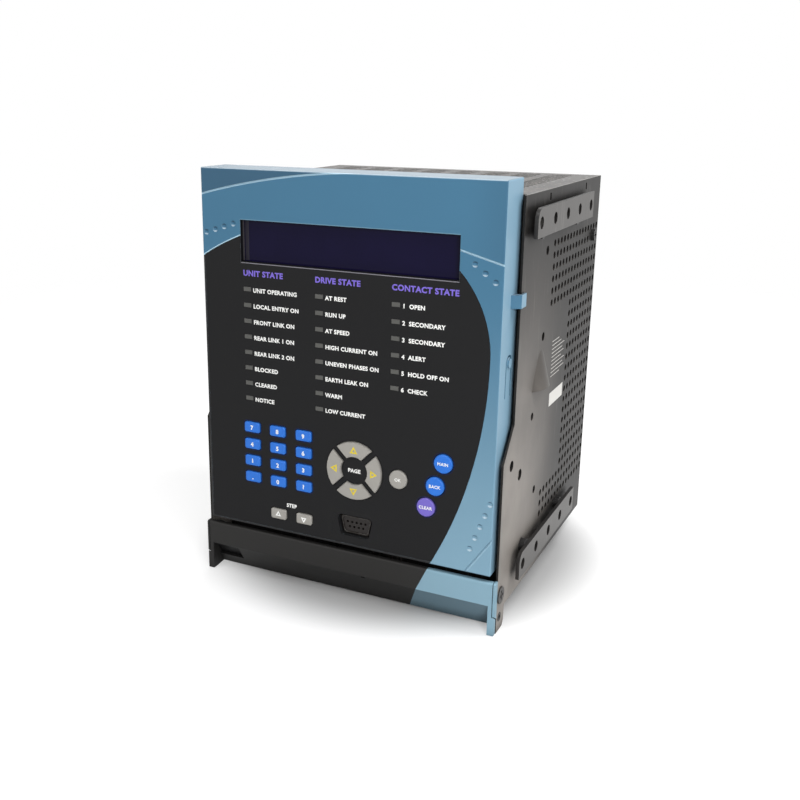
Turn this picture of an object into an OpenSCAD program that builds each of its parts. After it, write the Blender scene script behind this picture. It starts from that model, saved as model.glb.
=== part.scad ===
// Draw-out unit of a protection relay: keypad bezel, perforated chassis, slide rails and locking handle.
// Each module works in the front frame: x from the middle, y back from the bezel's face,
// z up from the bezel's lower edge. at_front() moves that frame onto the part's own frame.

/* [Bezel] */
// Width of the bezel
bezel_w = 176; // [172:1:190]
// Height of the bezel
bezel_h = 206.5; // [200:0.5:220]
// Depth of the bezel
bezel_d = 24; // [20:0.5:30]
// Thickness of the bezel's side walls
bezel_wall = 2.5; // [1.5:0.1:4]
// Thickness of the bezel's front wall
face_t = 4; // [3:0.1:5]
// Rounding of the bezel's outer edges
bezel_round = 0.8; // [0.5:0.1:2.4]
// Width of the moulded relief lines
groove_w = 0.7; // [0.4:0.1:1.2]
// Depth of the moulded relief lines
groove_depth = 0.5; // [0.2:0.1:0.9]
// Diameter of the moulded dots
dot_d = 3.6; // [2:0.1:4.4]
// Diameter of the bosses inside the bezel
boss_d = 5.4; // [4.5:0.1:7]

/* [Faceplate] */
// Thickness of the black overlay
overlay_t = 1; // [0.5:0.1:1.5]
// Bare edge left round the overlay
overlay_margin = 1.6; // [1:0.1:3]
// Height of the widest point of the black field
field_z = 118; // [110:1:126]
// Half-width of the black field at its widest point
field_x = 82.7; // [78:0.1:84]
// Radius of the field's edge above the widest point
field_r_top = 62; // [50:1:80]
// Radius of the field's edge below the widest point
field_r_low = 251.5; // [200:0.5:300]
// Radius of the field's shoulder left of the display
shoulder_r = 150; // [130:1:170]
// Place of the shoulder's centre to the right of the middle
shoulder_x = -8.1; // [-20:0.1:0]
// Drop from the display opening to the shoulder's centre
shoulder_drop = 125.2; // [116:0.1:136]

/* [Display] */
// Width of the display opening
window_w = 128; // [110:1:134]
// Height of the display opening
window_h = 23.2; // [18:0.2:26]
// Sideways place of the display opening
window_x = 0.9; // [-3:0.1:3]
// Drop from the bezel's top to the display opening's lower edge
window_drop = 50.5; // [46.5:0.1:52.5]
// Edge of the pane hidden behind the front wall
pane_lap = 3; // [2:0.1:4]
// Thickness of the display pane
pane_t = 2; // [1:0.1:3]
// Depth of the display module
module_t = 6; // [4:0.1:8]

/* [Status lights] */
// Width of one light
lens_w = 4.7; // [3:0.1:6]
// Height of one light
lens_h = 2.4; // [1.6:0.1:3.4]
// Sideways place of the first column
lens_x = -59.4; // [-64:0.1:-56]
// Distance between the columns
lens_pitch_x = 45.05; // [40:0.05:48]
// Drop from the display opening to the first row
lens_drop = 14.8; // [11:0.1:17]
// Height of the last light in a full column
lens_low = 78.4; // [74:0.1:90]
// Width of the light strips behind the wall
strip_w = 9; // [7:0.5:14]
// Thickness of the light strips behind the wall
strip_t = 1.6; // [1:0.1:1.9]

/* [Keys] */
// Width of the oblong keys
key_w = 10; // [8:0.1:12]
// Height of the oblong keys
key_h = 6.1; // [5:0.1:7]
// Corner radius of the oblong keys
key_corner = 1.2; // [0.6:0.1:2]
// Sideways place of the first key column
key_x = -57.8; // [-62:0.1:-54]
// Distance between the key columns
key_pitch_x = 16.8; // [15:0.1:18]
// Height of the top key row
key_z = 61.2; // [60:0.1:64]
// Distance between the key rows
key_pitch_z = 10.1; // [9.5:0.1:11]
// Height of the value keys
value_z = 10.9; // [9:0.1:13]
// Sideways place of the key ring
ring_x = 7.4; // [5:0.1:10]
// Height of the key ring's centre
ring_z = 45.9; // [42:0.1:50]
// Outer radius of the key ring
ring_r = 16.7; // [15:0.1:18]
// Inner radius of the key ring
ring_hole_r = 8.1; // [6:0.1:9]
// Gap between neighbouring ring keys
ring_gap = 3.4; // [3:0.1:4.5]
// Diameter of the round keys
round_d = 10.5; // [8:0.1:12]
// How far a key stands proud of the overlay
key_proud = 1.1; // [0.8:0.1:2]
// Slope of a key's edge
key_bevel = 0.5; // [0.2:0.1:0.7]
// Travel of a key
key_travel = 0.8; // [0.4:0.1:1]
// Collar that holds a key behind the wall
collar = 0.8; // [0.5:0.1:1]
// Thickness of the collar
collar_t = 0.9; // [0.6:0.1:1.2]
// Clearance round each key
key_gap = 0.4; // [0.3:0.05:0.5]

/* [Serial port] */
// Width of the opening for the port
port_w = 21.3; // [20.5:0.1:24]
// Height of the opening for the port
port_h = 12.5; // [12:0.1:14]
// Sideways place of the port
port_x = 7.9; // [6:0.1:12]
// Height of the port's centre
port_z = 12.6; // [11.5:0.1:14]
// How far the port's face sits back
port_setback = 2; // [1:0.1:3]
// Width of the port's metal shell at its top
shell_w = 18.2; // [17:0.1:19]
// Height of the port's metal shell
shell_h = 9.9; // [9:0.1:10.5]
// Wall of the port's metal shell
shell_wall = 0.6; // [0.4:0.1:0.9]
// Distance between contacts in a row
contact_pitch = 2.77; // [2.6:0.01:2.9]
// Distance between the two contact rows
contact_row = 2.84; // [2.6:0.01:3]
// Bore of a contact
contact_d = 1.4; // [1:0.1:1.8]

/* [Chassis] */
// Depth of the chassis behind the bezel's face
chassis_d = 172.5; // [150:0.5:200]
// Step from the bezel's top down to the chassis top
chassis_step = 8.5; // [4:0.5:14]
// Drop of the chassis below the bezel's lower edge
chassis_drop = 22.3; // [20:0.1:24]
// Thickness of the side plates
plate_t = 1.2; // [1:0.1:2.5]
// Gap between the bezel's sides and the side plates
plate_gap = 2.2; // [0.8:0.1:3]
// Thickness of the other chassis sheets
sheet_t = 1.5; // [1:0.1:2]
// Place of the side plates' upper front edge
plate_front = 18.6; // [17:0.1:22]
// Place of the side plates' lower front edge
nose_front = 3.5; // [3:0.1:6]
// Height where the front edge starts to slant forward
slant_top = 80; // [75:1:90]
// Height where the slant ends
slant_low = 62; // [50:1:70]
// Place of the lug's rear edge
lug_rear = 15.6; // [15:0.1:19]
// Drop of the lug below the bezel's lower edge
lug_drop = 34.2; // [32:0.1:37]
// Diameter of the ventilation holes
vent_d = 4; // [2:0.1:5]
// Pitch of the ventilation holes
vent_pitch = 6.65; // [6:0.05:8]
// Place of the first long ventilation column
vent_front = 76; // [70:0.1:84]
// Columns missing from the short ventilation rows
vent_skip = 6; // [4:1:8]
// Height of the lowest ventilation row
vent_low = 8.2; // [7:0.1:12]
// Space above the ventilation rows
vent_drop = 27; // [22:1:48]
// Width of the folded chassis flanges
flange_w = 11; // [8:0.5:14]

/* [Slide rails] */
// Height of a rail
rail_h = 15; // [12:0.5:18]
// Thickness of a rail
rail_t = 2; // [1.5:0.1:3]
// Stand-off between plate and rail
rail_gap = 3.2; // [2:0.1:5]
// Place of the first rail hole
rail_hole_y = 30.2; // [28:0.1:36]
// Pitch of the rail holes
rail_pitch = 25; // [22:0.1:26]
// Number of holes in a rail
rail_holes = 5; // [4:1:5]
// Diameter of the rail holes
rail_hole_d = 6.4; // [5:0.1:7]
// Length of rail before the first and after the last hole
rail_end = 6.2; // [5.5:0.1:9]
// Drop from the chassis top to the upper rails' holes
rail_top_drop = 14.2; // [12:0.1:18]
// Height of the lower rails' holes
rail_low_z = -3; // [-6:0.1:0]
// Diameter of the rail spacers
spacer_d = 8; // [6:0.1:10]
// Offset of the spacers from the rail holes' line
spacer_in = 5.5; // [3:0.1:7]

/* [Handle] */
// Place of the handle's pivot behind the bezel's face
pivot_y = 8.2; // [7.8:0.1:8.6]
// Drop of the handle's pivot below the bezel's lower edge
pivot_drop = 13.2; // [12.8:0.1:13.6]
// Gap between bezel and handle
handle_gap = 3.2; // [3.2:0.1:4]
// How far the handle stands in front of the bezel's face
handle_proud = 0.4; // [0:0.1:0.5]
// Height of the handle's front bar
bar_h = 13.5; // [12:0.1:14]
// Wall of the handle
handle_wall = 3; // [2.4:0.1:3.3]
// Rounding of the handle's upper edge
bar_round = 1.2; // [1:0.1:2.5]
// Place of the scoop's lower edge behind the bezel's face
scoop_y = 10; // [8:0.1:11]
// Width of the handle's end legs
leg_w = 3.4; // [2.8:0.1:6]
// Clearance between the moving handle and the fixed sheets
handle_clear = 0.4; // [0.3:0.05:0.6]
// Radius of the handle's ends round the pivot
knuckle_r = 6.5; // [5:0.1:7]
// Diameter of the pivot screws' shank
pivot_d = 5; // [4:0.1:6]
// Diameter of the pivot screws' head
pivot_head_d = 9.4; // [8:0.1:11]
// Distance from the pivots down to the guide pins
guide_drop = 13; // [11:0.1:14]
// Diameter of the guide pins
guide_d = 5; // [4:0.1:6]
// Width of the latch
latch_w = 14; // [10:0.5:18]
// Travel of the latch
latch_travel = 4; // [2:0.1:5]
// Thickness of the latch
latch_t = 2; // [1.5:0.1:2.5]
// Diameter of the latch spring
spring_d = 4; // [3:0.1:5]

/* [Inside and rear] */
// Thickness of the circuit boards
board_t = 1.6; // [1:0.1:2]
// Distance of the two large boards from the middle
board_x = 42; // [38:0.5:50]
// Width of a rear plug block
plug_w = 30; // [24:0.5:36]
// Height of a rear plug block
plug_h = 150; // [120:1:170]
// How far the plug blocks stand out of the rear panel
plug_proud = 6; // [3:0.1:9]
// How far the blades stand out of the plug blocks
blade_proud = 5; // [3:0.1:8]
// Number of blades in one row of a plug block
blade_rows = 12; // [6:1:12]
// Side of an output relay's case
relay_w = 20; // [14:0.5:22]
// Side of an input transformer's core
core_w = 30; // [24:0.5:34]

/* [Hidden] */
$fn = 48;

// Small overlap that keeps cuts clean
eps = 0.01;
// Clearance of a screw or pin in its hole
fit = 0.15;
chassis_top = bezel_h - chassis_step;
rail_top_z = chassis_top - rail_top_drop;
plate_in = bezel_w / 2 + plate_gap;
plate_out = plate_in + plate_t;
rail_in = plate_out + rail_gap;
rail_out = rail_in + rail_t;
rail_last = rail_hole_y + (rail_holes - 1) * rail_pitch;
rear_reach = chassis_d + plug_proud + blade_proud;
front_y = -(rear_reach - key_proud) / 2;
floor_z = lug_drop;
board_y = face_t + fit + collar_t + key_travel + fit;
window_z = bezel_h - window_drop;
window_mid = window_z + window_h / 2;
shoulder_z = window_z - shoulder_drop;
lens_z = window_z - lens_drop;
// Lights in each column
LENS_ROWS = [8, 8, 6];
lens_pitch_z = (lens_z - lens_low) / (LENS_ROWS[0] - 1);
module_y = face_t + pane_t;
display_board_y = module_y + module_t;
// Space between the display's pane and the keys' board
BOARD_GAP = 4;
board_top = window_z - pane_lap - BOARD_GAP;
pivot_z = -pivot_drop;
bar_top = -handle_gap;
bar_low = bar_top - bar_h;
leg_low = -lug_drop + 2 * fit;
scoop_low = leg_low + 1;
handle_half = plate_in - handle_clear;
cap_r = bar_round + norm([pivot_y + handle_proud - bar_round, bar_top - bar_round - pivot_z]);
cheek_in = handle_half - leg_w + plate_t;
chassis_floor = -chassis_drop + sheet_t;
chassis_ceiling = chassis_top - sheet_t;
bay_front = bezel_d + sheet_t;
bay_rear = chassis_d - sheet_t;
boss_x = bezel_w / 2 - bezel_wall - boss_d / 2 + 1;
boss_inset = 10;
board_half = boss_x - boss_d / 2 - 1;
latch_y = scoop_y + handle_wall + handle_clear;
latch_low = leg_low + 0.5;
latch_h = 13;
latch_top = latch_low + latch_h;
latch_shelf = latch_top + latch_travel + 5;

BLUE = "#7fa8c4";
BLACK = "#2a2a2c";
CHASSIS = "#55524f";
KEY_BLUE = "#2f7fe0";
KEY_GREY = "#aaa59f";
STEEL = "#b8bcc0";
BOARD = "#2d6b45";

// Frame and extrusion helpers

// Moves the front frame onto the part's frame
module at_front() {
    translate([0, front_y, floor_z]) children();
}

// A front-view outline between two depths
module slab(y0, y1) {
    translate([0, y1, 0]) rotate([90, 0, 0]) linear_extrude(y1 - y0) children();
}

// A side-view outline (depth, height) between two places across
module side_slab(x0, x1) {
    translate([x0, 0, 0]) rotate([90, 0, 90]) linear_extrude(x1 - x0) children();
}

// A rectangle with round corners about its centre
module round_rect(w, h, r) {
    square([w - 2 * r, h], center = true);
    square([w, h - 2 * r], center = true);
    for (x = [-1, 1], z = [-1, 1]) {
        translate([x * (w / 2 - r), z * (h / 2 - r)]) circle(r);
    }
}

// The same pieces on both flanks
module both_sides() {
    children();
    mirror([1, 0, 0]) children();
}

// Front outlines

module bezel_outline() {
    translate([0, bezel_h / 2]) round_rect(bezel_w, bezel_h, bezel_round);
}

module window_outline(grow = 0) {
    translate([window_x, window_mid]) square([window_w + 2 * grow, window_h + 2 * grow], center = true);
}

// The field's edge: two arcs that meet at the widest point, and the shoulder left of the display
module field_outline(margin, grow = 0) {
    half = bezel_w / 2 - margin;
    window_rim = overlay_margin / 4;
    difference() {
        intersection() {
            translate([-half, margin]) square([2 * half, bezel_h - 2 * margin]);
            translate([shoulder_x, shoulder_z]) circle(shoulder_r + grow, $fn = 240);
            union() {
                intersection() {
                    translate([-half, -eps]) square([2 * half, field_z + eps]);
                    translate([field_x - field_r_low, field_z]) circle(field_r_low + grow, $fn = 360);
                }
                translate([field_x - field_r_top, field_z]) circle(field_r_top + grow, $fn = 180);
                translate([-half, field_z - eps]) square([half + field_x - field_r_top, bezel_h]);
            }
        }
        translate([window_x - window_w / 2 - window_rim + grow, window_z - window_rim + grow])
            square([window_w + 2 * window_rim - 2 * grow, bezel_h]);
    }
}

// Points of an arc
function arc(centre, r, from, to, steps = 8) =
    [for (k = [0 : steps]) let (a = from + (to - from) * k / steps) centre + r * [cos(a), sin(a)]];

// A D-shaped outline, wider at its top, with round corners
module d_outline(w, h, slope, r) {
    top = w / 2 - r;
    low = top - slope;
    side = h / 2 - r;
    lean = atan2(slope, 2 * side);
    polygon(concat(
        arc([top, side], r, -lean, 90), arc([-top, side], r, 90, 180 + lean),
        arc([-low, -side], r, 180 + lean, 270), arc([low, -side], r, 270, 360 - lean)
    ));
}

PORT_SLOPE = 1.6;
PORT_CORNER = 2.4;

module port_outline() {
    translate([port_x, port_z]) d_outline(port_w, port_h, PORT_SLOPE, PORT_CORNER);
}

// Status lights

module lens_outlines(column, grow = 0) {
    for (row = [0 : LENS_ROWS[column] - 1]) {
        translate([lens_x + column * lens_pitch_x, lens_z - row * lens_pitch_z])
            square([lens_w + 2 * grow, lens_h + 2 * grow], center = true);
    }
}

// Keys

function key_place(column, row) = [key_x + column * key_pitch_x, key_z - row * key_pitch_z];

function value_place(column) = [key_x + column * key_pitch_x, value_z];

// Places of the round keys: enter, menu, escape, reset
ROUND_PLACES = [[34, 45.6], [59.7, 59], [55.4, 45.6], [50.5, 32.8]];

module oblong_outline(grow) {
    round_rect(key_w + 2 * grow, key_h + 2 * grow, key_corner + max(grow, -key_corner / 2));
}

// One quarter of the ring, with straight gaps to its neighbours
module ring_outline(grow) {
    reach = ring_r + grow;
    start = (ring_gap / 2 - grow) / sin(45);
    intersection() {
        difference() {
            circle(reach, $fn = 96);
            circle(ring_hole_r - grow, $fn = 96);
        }
        polygon([[0, start], [2 * reach, start + 2 * reach], [-2 * reach, start + 2 * reach]]);
    }
}

module round_outline(grow) {
    circle(round_d / 2 + grow);
}

// Every key's outline at its place
module key_outlines(grow) {
    for (column = [0 : 2], row = [0 : 3]) {
        translate(key_place(column, row)) oblong_outline(grow);
    }
    for (column = [1, 2]) {
        translate(value_place(column)) oblong_outline(grow);
    }
    for (turn = [0 : 3]) {
        translate([ring_x, ring_z]) rotate(90 * turn) ring_outline(grow);
    }
    for (place = ROUND_PLACES) {
        translate(place) round_outline(grow);
    }
}

// Depth layers of a key: cap, stem and the collar that stops it behind the wall
module key_cap_layers() {
    slab(key_bevel - key_proud, face_t + fit + collar_t) children(0);
    slab(face_t + fit, face_t + fit + collar_t) children(1);
}

module oblong_key(place) {
    at_front() translate([place.x, 0, place.y]) {
        key_cap_layers() {
            oblong_outline(0);
            oblong_outline(collar);
        }
        hull() {
            slab(key_bevel - key_proud - eps, key_bevel - key_proud) oblong_outline(0, $fn = 32);
            slab(-key_proud, -key_proud + eps) oblong_outline(-key_bevel, $fn = 32);
        }
    }
}

module ring_key(turn) {
    at_front() translate([ring_x, 0, ring_z]) rotate([0, -90 * turn, 0]) {
        key_cap_layers() {
            ring_outline(0);
            ring_outline(collar);
        }
        slab(-key_proud, key_bevel - key_proud) ring_outline(-key_bevel / 2);
    }
}

module round_key(index) {
    place = ROUND_PLACES[index];
    at_front() translate([place.x, 0, place.y]) {
        key_cap_layers() {
            round_outline(0);
            round_outline(collar);
        }
        rotate([90, 0, 0]) translate([0, 0, key_proud - key_bevel])
            cylinder(h = key_bevel, r1 = round_d / 2, r2 = round_d / 2 - key_bevel);
    }
}

module key_7() { color(KEY_BLUE) oblong_key(key_place(0, 0)); }
module key_8() { color(KEY_BLUE) oblong_key(key_place(1, 0)); }
module key_9() { color(KEY_BLUE) oblong_key(key_place(2, 0)); }
module key_4() { color(KEY_BLUE) oblong_key(key_place(0, 1)); }
module key_5() { color(KEY_BLUE) oblong_key(key_place(1, 1)); }
module key_6() { color(KEY_BLUE) oblong_key(key_place(2, 1)); }
module key_1() { color(KEY_BLUE) oblong_key(key_place(0, 2)); }
module key_2() { color(KEY_BLUE) oblong_key(key_place(1, 2)); }
module key_3() { color(KEY_BLUE) oblong_key(key_place(2, 2)); }
module key_point() { color(KEY_BLUE) oblong_key(key_place(0, 3)); }
module key_0() { color(KEY_BLUE) oblong_key(key_place(1, 3)); }
module key_help() { color(KEY_BLUE) oblong_key(key_place(2, 3)); }
module value_up_key() { color(KEY_GREY) oblong_key(value_place(1)); }
module value_down_key() { color(KEY_GREY) oblong_key(value_place(2)); }
module ring_up_key() { color(KEY_GREY) ring_key(0); }
module ring_left_key() { color(KEY_GREY) ring_key(1); }
module ring_down_key() { color(KEY_GREY) ring_key(2); }
module ring_right_key() { color(KEY_GREY) ring_key(3); }
module enter_key() { color(KEY_GREY) round_key(0); }
module menu_key() { color(KEY_BLUE) round_key(1); }
module escape_key() { color(KEY_BLUE) round_key(2); }
module reset_key() { color("#7a6ad0") round_key(3); }

// Bezel and what it carries

// The outer block, rounded along every front edge
module bezel_block() {
    intersection() {
        slab(0, bezel_d) bezel_outline();
        side_slab(-bezel_w, bezel_w) {
            translate([bezel_d / 2 + bezel_round / 2, bezel_h / 2])
                round_rect(bezel_d + bezel_round, bezel_h, bezel_round);
        }
        translate([0, bezel_d / 2 + bezel_round / 2, -bezel_h / 2])
            linear_extrude(2 * bezel_h) round_rect(bezel_w, bezel_d + bezel_round, bezel_round);
    }
}

// A straight relief line between two points of the face
module straight_line(from, to) {
    run = to - from;
    translate(from) rotate(atan2(run.y, run.x)) translate([0, -groove_w / 2])
        square([norm(run), groove_w]);
}

// The long arc over the display, the straight line right of it and the one across the lower corner
ARC_R = 436.4;
ARC_CENTRE = [26.1, bezel_h - 435.7];
UPPER_LINE_Z = [window_z + 15.8, window_z + 9.7];
LOWER_LINE_X = 73.3;
LOWER_LINE_Z = 21.4;

module relief_lines() {
    intersection() {
        translate(ARC_CENTRE) difference() {
            circle(ARC_R + groove_w / 2, $fn = 360);
            circle(ARC_R - groove_w / 2, $fn = 360);
        }
        translate([-bezel_w / 2, window_z]) square([bezel_w / 2, bezel_h - window_z - bezel_round]);
    }
    straight_line([window_x + window_w / 2, UPPER_LINE_Z[0]], [bezel_w / 2, UPPER_LINE_Z[1]]);
    straight_line([LOWER_LINE_X, 0], [bezel_w / 2, LOWER_LINE_Z]);
}

// Rows of moulded dots: start, step and count
DOT_ROWS = [
    [[-85.2, window_z + 15.2], [5.9, 1.85], 4],
    [[72.9, window_z + 9.3], [5.5, -4.1], 3],
    [[76, 14], [2.55, 6.75], 5]
];

module relief_dots() {
    for (row = DOT_ROWS, k = [0 : row[2] - 1]) {
        place = row[0] + k * row[1];
        translate([place.x, -dot_d / 4, place.y]) sphere(d = dot_d);
    }
}

// Places of the bosses for the bezel screws
BEZEL_SCREW = 3;
BOSS_HOLE = 12;

module at_bezel_bosses() {
    for (x = [-1, 1], z = [boss_inset, chassis_ceiling - boss_inset]) {
        translate([x * boss_x, 0, z]) rotate([-90, 0, 0]) children();
    }
}

// Posts under the corners of the front board and the display board
FRONT_POST = [76, 20];
POST_INSET = 4;
POST_OUT = 5.5;

module at_display_posts() {
    for (x = [-1, 1], z = [-1, 1]) {
        translate([window_x + x * (window_w / 2 + pane_lap + POST_OUT / 2 + fit), 0,
            window_mid + z * (window_h / 2 - 1)]) rotate([-90, 0, 0]) children();
    }
}

// The clip that reaches back over the right side plate
CLIP_Z = 145.7;
CLIP_H = 7;
CLIP_T = 1.2;
CLIP_ROOT = 12.4;
CLIP_RAMP = 3;
CLIP_REACH = 4.5;

module side_clip() {
    root = bezel_w / 2 - eps;
    in = plate_out + fit;
    out = in + CLIP_T;
    heel = plate_front - 1;
    tip = plate_front + CLIP_REACH;
    translate([0, 0, CLIP_Z - CLIP_H / 2]) linear_extrude(CLIP_H) polygon([
        [root, CLIP_ROOT], [out, CLIP_ROOT + CLIP_RAMP], [out, tip], [in, tip], [in, heel], [root, heel]
    ]);
}

// The sprung tongue in the right flank: a slot round three sides of it and a knob at its free end
TONGUE_W = 6.6;
TONGUE_H = 18;
TONGUE_Y = 14;
TONGUE_TOP = 117;
TONGUE_SLOT = 1.2;
TONGUE_KNOB = [5, 0.8];

// The tongue's outline, round at its top
module tongue_outline(grow) {
    translate([TONGUE_Y, TONGUE_TOP - TONGUE_W / 2]) {
        circle(d = TONGUE_W + 2 * grow);
        translate([-TONGUE_W / 2 - grow, -TONGUE_H]) square([TONGUE_W + 2 * grow, TONGUE_H]);
    }
}

module tongue_slot() {
    side_slab(bezel_w / 2 - bezel_wall - eps, bezel_w) difference() {
        tongue_outline(TONGUE_SLOT);
        tongue_outline(0);
    }
}

// The moulded front: hollow block with the relief and every opening
module bezel_shell() {
    difference() {
        bezel_block();
        translate([0, face_t, 0]) slab(0, bezel_d) translate([0, bezel_h / 2])
            square([bezel_w - 2 * bezel_wall, bezel_h - 2 * bezel_wall], center = true);
        slab(-eps, overlay_t) field_outline(overlay_margin - fit, fit);
        slab(-eps, bezel_d) window_outline();
        slab(-eps, bezel_d) port_outline();
        slab(-eps, bezel_d) key_outlines(key_gap);
        for (column = [0 : 2]) {
            slab(-eps, bezel_d) lens_outlines(column, fit);
        }
        slab(-eps, groove_depth) relief_lines();
        relief_dots();
        tongue_slot();
    }
}

// Bosses for the screws and posts for the two boards, on the back of the front wall
module bezel_posts() {
    at_bezel_bosses() translate([0, 0, face_t - eps]) cylinder(h = bezel_d - face_t + eps, d = boss_d);
    for (x = [-1, 1], z = [FRONT_POST.y, board_top - POST_INSET]) {
        translate([x * FRONT_POST.x, face_t - eps, z]) rotate([-90, 0, 0])
            cylinder(h = board_y - face_t + eps, d = boss_d);
    }
    at_display_posts() translate([0, 0, face_t - eps])
        cylinder(h = display_board_y - face_t + eps, d = POST_OUT);
}

module front_bezel() {
    color(BLUE) at_front() {
        difference() {
            union() {
                bezel_shell();
                bezel_posts();
            }
            at_bezel_bosses() translate([0, 0, bezel_d - BOSS_HOLE])
                cylinder(h = 2 * BOSS_HOLE, d = BEZEL_SCREW + 2 * fit);
        }
        translate([bezel_w / 2 - eps, TONGUE_Y, TONGUE_TOP - TONGUE_W / 2])
            rotate([0, 90, 0]) cylinder(h = TONGUE_KNOB[1] + eps, d = TONGUE_KNOB[0]);
        side_clip();
    }
}

module faceplate_overlay() {
    color(BLACK) at_front() slab(0, overlay_t) difference() {
        field_outline(overlay_margin);
        port_outline();
        key_outlines(key_gap);
        for (column = [0 : 2]) {
            lens_outlines(column, fit);
        }
    }
}

module display_window() {
    color("#1a1430") at_front() slab(face_t, face_t + pane_t) window_outline(pane_lap);
}

module display_module() {
    color("#3a3a42") at_front() {
        slab(module_y, display_board_y) window_outline(-1);
    }
}

module display_board() {
    color(BOARD) at_front() slab(display_board_y, display_board_y + board_t)
        window_outline(pane_lap + POST_OUT - 1);
}

// One column of lights: a strip glued behind the wall with a lens through it for each light
module status_strip(column) {
    rows = LENS_ROWS[column];
    strip_h = (rows - 1) * lens_pitch_z + lens_h + 3;
    mid = lens_z - (rows - 1) * lens_pitch_z / 2;
    color("#6b6b6b") at_front() {
        slab(0, face_t + eps) lens_outlines(column);
        slab(face_t, face_t + strip_t) translate([lens_x + column * lens_pitch_x, mid])
            square([strip_w, strip_h], center = true);
    }
}

module status_strip_left() { status_strip(0); }
module status_strip_middle() { status_strip(1); }
module status_strip_right() { status_strip(2); }

// The keys' board, notched round the port and ending under the pane
BOARD_NOTCH = 1;

module front_board() {
    low = 2 * bezel_wall;
    color(BOARD) at_front() slab(board_y, board_y + board_t) difference() {
        translate([-board_half, low]) square([2 * board_half, board_top - low]);
        translate([port_x, port_z]) square([PORT_FLANGE_W + 2 * BOARD_NOTCH, 2 * port_h], center = true);
    }
}

// Serial port: a metal shell with a flange behind the wall, and the moulded insert with its contacts
PORT_FLANGE_W = 29;
PORT_FLANGE_RIM = 1;
PORT_FLANGE_T = 0.8;
PORT_BODY = 11;
SHELL_SLOPE = 1.4;
SHELL_CORNER = 1.6;
INSERT_SETBACK = 0.4;
CONTACT_END = 9;

module shell_outline(grow) {
    translate([port_x, port_z])
        d_outline(shell_w + 2 * grow, shell_h + 2 * grow, SHELL_SLOPE, SHELL_CORNER);
}

module port_shell() {
    color(STEEL) at_front() difference() {
        union() {
            slab(port_setback, face_t + PORT_FLANGE_T) shell_outline(0);
            slab(face_t, face_t + PORT_FLANGE_T) translate([port_x, port_z])
                square([PORT_FLANGE_W, port_h + 2 * PORT_FLANGE_RIM], center = true);
        }
        slab(0, bezel_d) shell_outline(-shell_wall);
    }
}

module port_insert() {
    color("#1d1d1f") at_front() difference() {
        union() {
            slab(port_setback + INSERT_SETBACK, face_t + PORT_FLANGE_T + eps)
                shell_outline(-shell_wall - fit / 2);
            slab(face_t + PORT_FLANGE_T, PORT_BODY) shell_outline(0);
        }
        for (row = [0, 1], k = [0 : 4 - row]) {
            translate([port_x + (k - (4 - row) / 2) * contact_pitch, 0, port_z + (0.5 - row) * contact_row])
                rotate([-90, 0, 0]) cylinder(h = CONTACT_END, d = contact_d, $fn = 24);
        }
    }
}

// Chassis

// Outline of a side plate: slanted front edge above, lug for the handle below
LUG_CORNER = [2, 3];

module plate_outline() {
    polygon([
        [plate_front, chassis_top], [chassis_d, chassis_top], [chassis_d, -chassis_drop],
        [lug_rear, -chassis_drop], [lug_rear, LUG_CORNER.y - lug_drop], [lug_rear - LUG_CORNER.x, -lug_drop],
        [nose_front, -lug_drop], [nose_front, slant_low], [plate_front, slant_top]
    ]);
}

// The screw that holds a side plate to the rear panel: inset from the rear and the top, thread, head
SIDE_SCREW_INSET = [12, 35.5];
SIDE_SCREW = [chassis_d - SIDE_SCREW_INSET.x, chassis_top - SIDE_SCREW_INSET.y];
SIDE_SCREW_D = 4;
SIDE_HEAD = [7, 2];

// Ventilation: full rows above and below, short rows beside the label field, none under the screw's head
FULL_ROWS_LOW = 3;
FULL_ROWS_TOP = 6;
VENT_RIM = 1.2;

module vent_holes() {
    columns = floor((chassis_d - vent_d / 2 - VENT_RIM - vent_front) / vent_pitch);
    rows = floor((chassis_top - vent_drop - vent_low) / vent_pitch) + 1;
    for (row = [0 : rows - 1]) {
        short = row >= FULL_ROWS_LOW && row < rows - FULL_ROWS_TOP;
        for (column = [short ? vent_skip : 0 : columns]) {
            place = [vent_front + column * vent_pitch, vent_low + row * vent_pitch];
            if (norm(place - SIDE_SCREW) > (SIDE_HEAD[0] + vent_d) / 2) {
                translate(place) circle(d = vent_d, $fn = 24);
            }
        }
    }
}

// Single holes of a side plate: depth, height and diameter
PLATE_HOLES = [
    [62, 165.5, 5], [63, 118, 5], [50, 75.5, 4.6], [17, 57.5, 6], [32.5, 47.5, 6.4], [62, 28.5, 4.6]
];

// Slots under a side plate's upper edge
EDGE_SLOTS = [62, 137];
EDGE_SLOT = [2.4, 4];

module plate_cuts() {
    vent_holes();
    for (hole = PLATE_HOLES) {
        translate([hole[0], hole[1]]) circle(d = hole[2]);
    }
    for (y = EDGE_SLOTS) {
        translate([y, chassis_top - EDGE_SLOT.y]) square(EDGE_SLOT, center = true);
    }
    translate(SIDE_SCREW) circle(d = SIDE_SCREW_D + 2 * fit);
    translate([pivot_y, pivot_z]) circle(d = pivot_d + 2 * fit);
    translate([pivot_y, pivot_z - guide_drop]) circle(d = guide_d + fit / 2);
}

module side_plate() {
    side_slab(plate_in, plate_out) difference() {
        plate_outline();
        plate_cuts();
    }
}

// The hood pressed out of the right plate: a shallow cone, closed at its top and open at its foot
HOOD_Y = 61;
HOOD_Z = 90;
HOOD_H = 21;
HOOD_AXIS = 17;
HOOD_OUT = 5;

module hood_cone(inset, foot = 0) {
    r = HOOD_AXIS - inset;
    translate([plate_out - HOOD_AXIS, HOOD_Y, HOOD_Z - foot])
        cylinder(h = HOOD_H + foot, r1 = r + HOOD_OUT, r2 = r);
}

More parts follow.
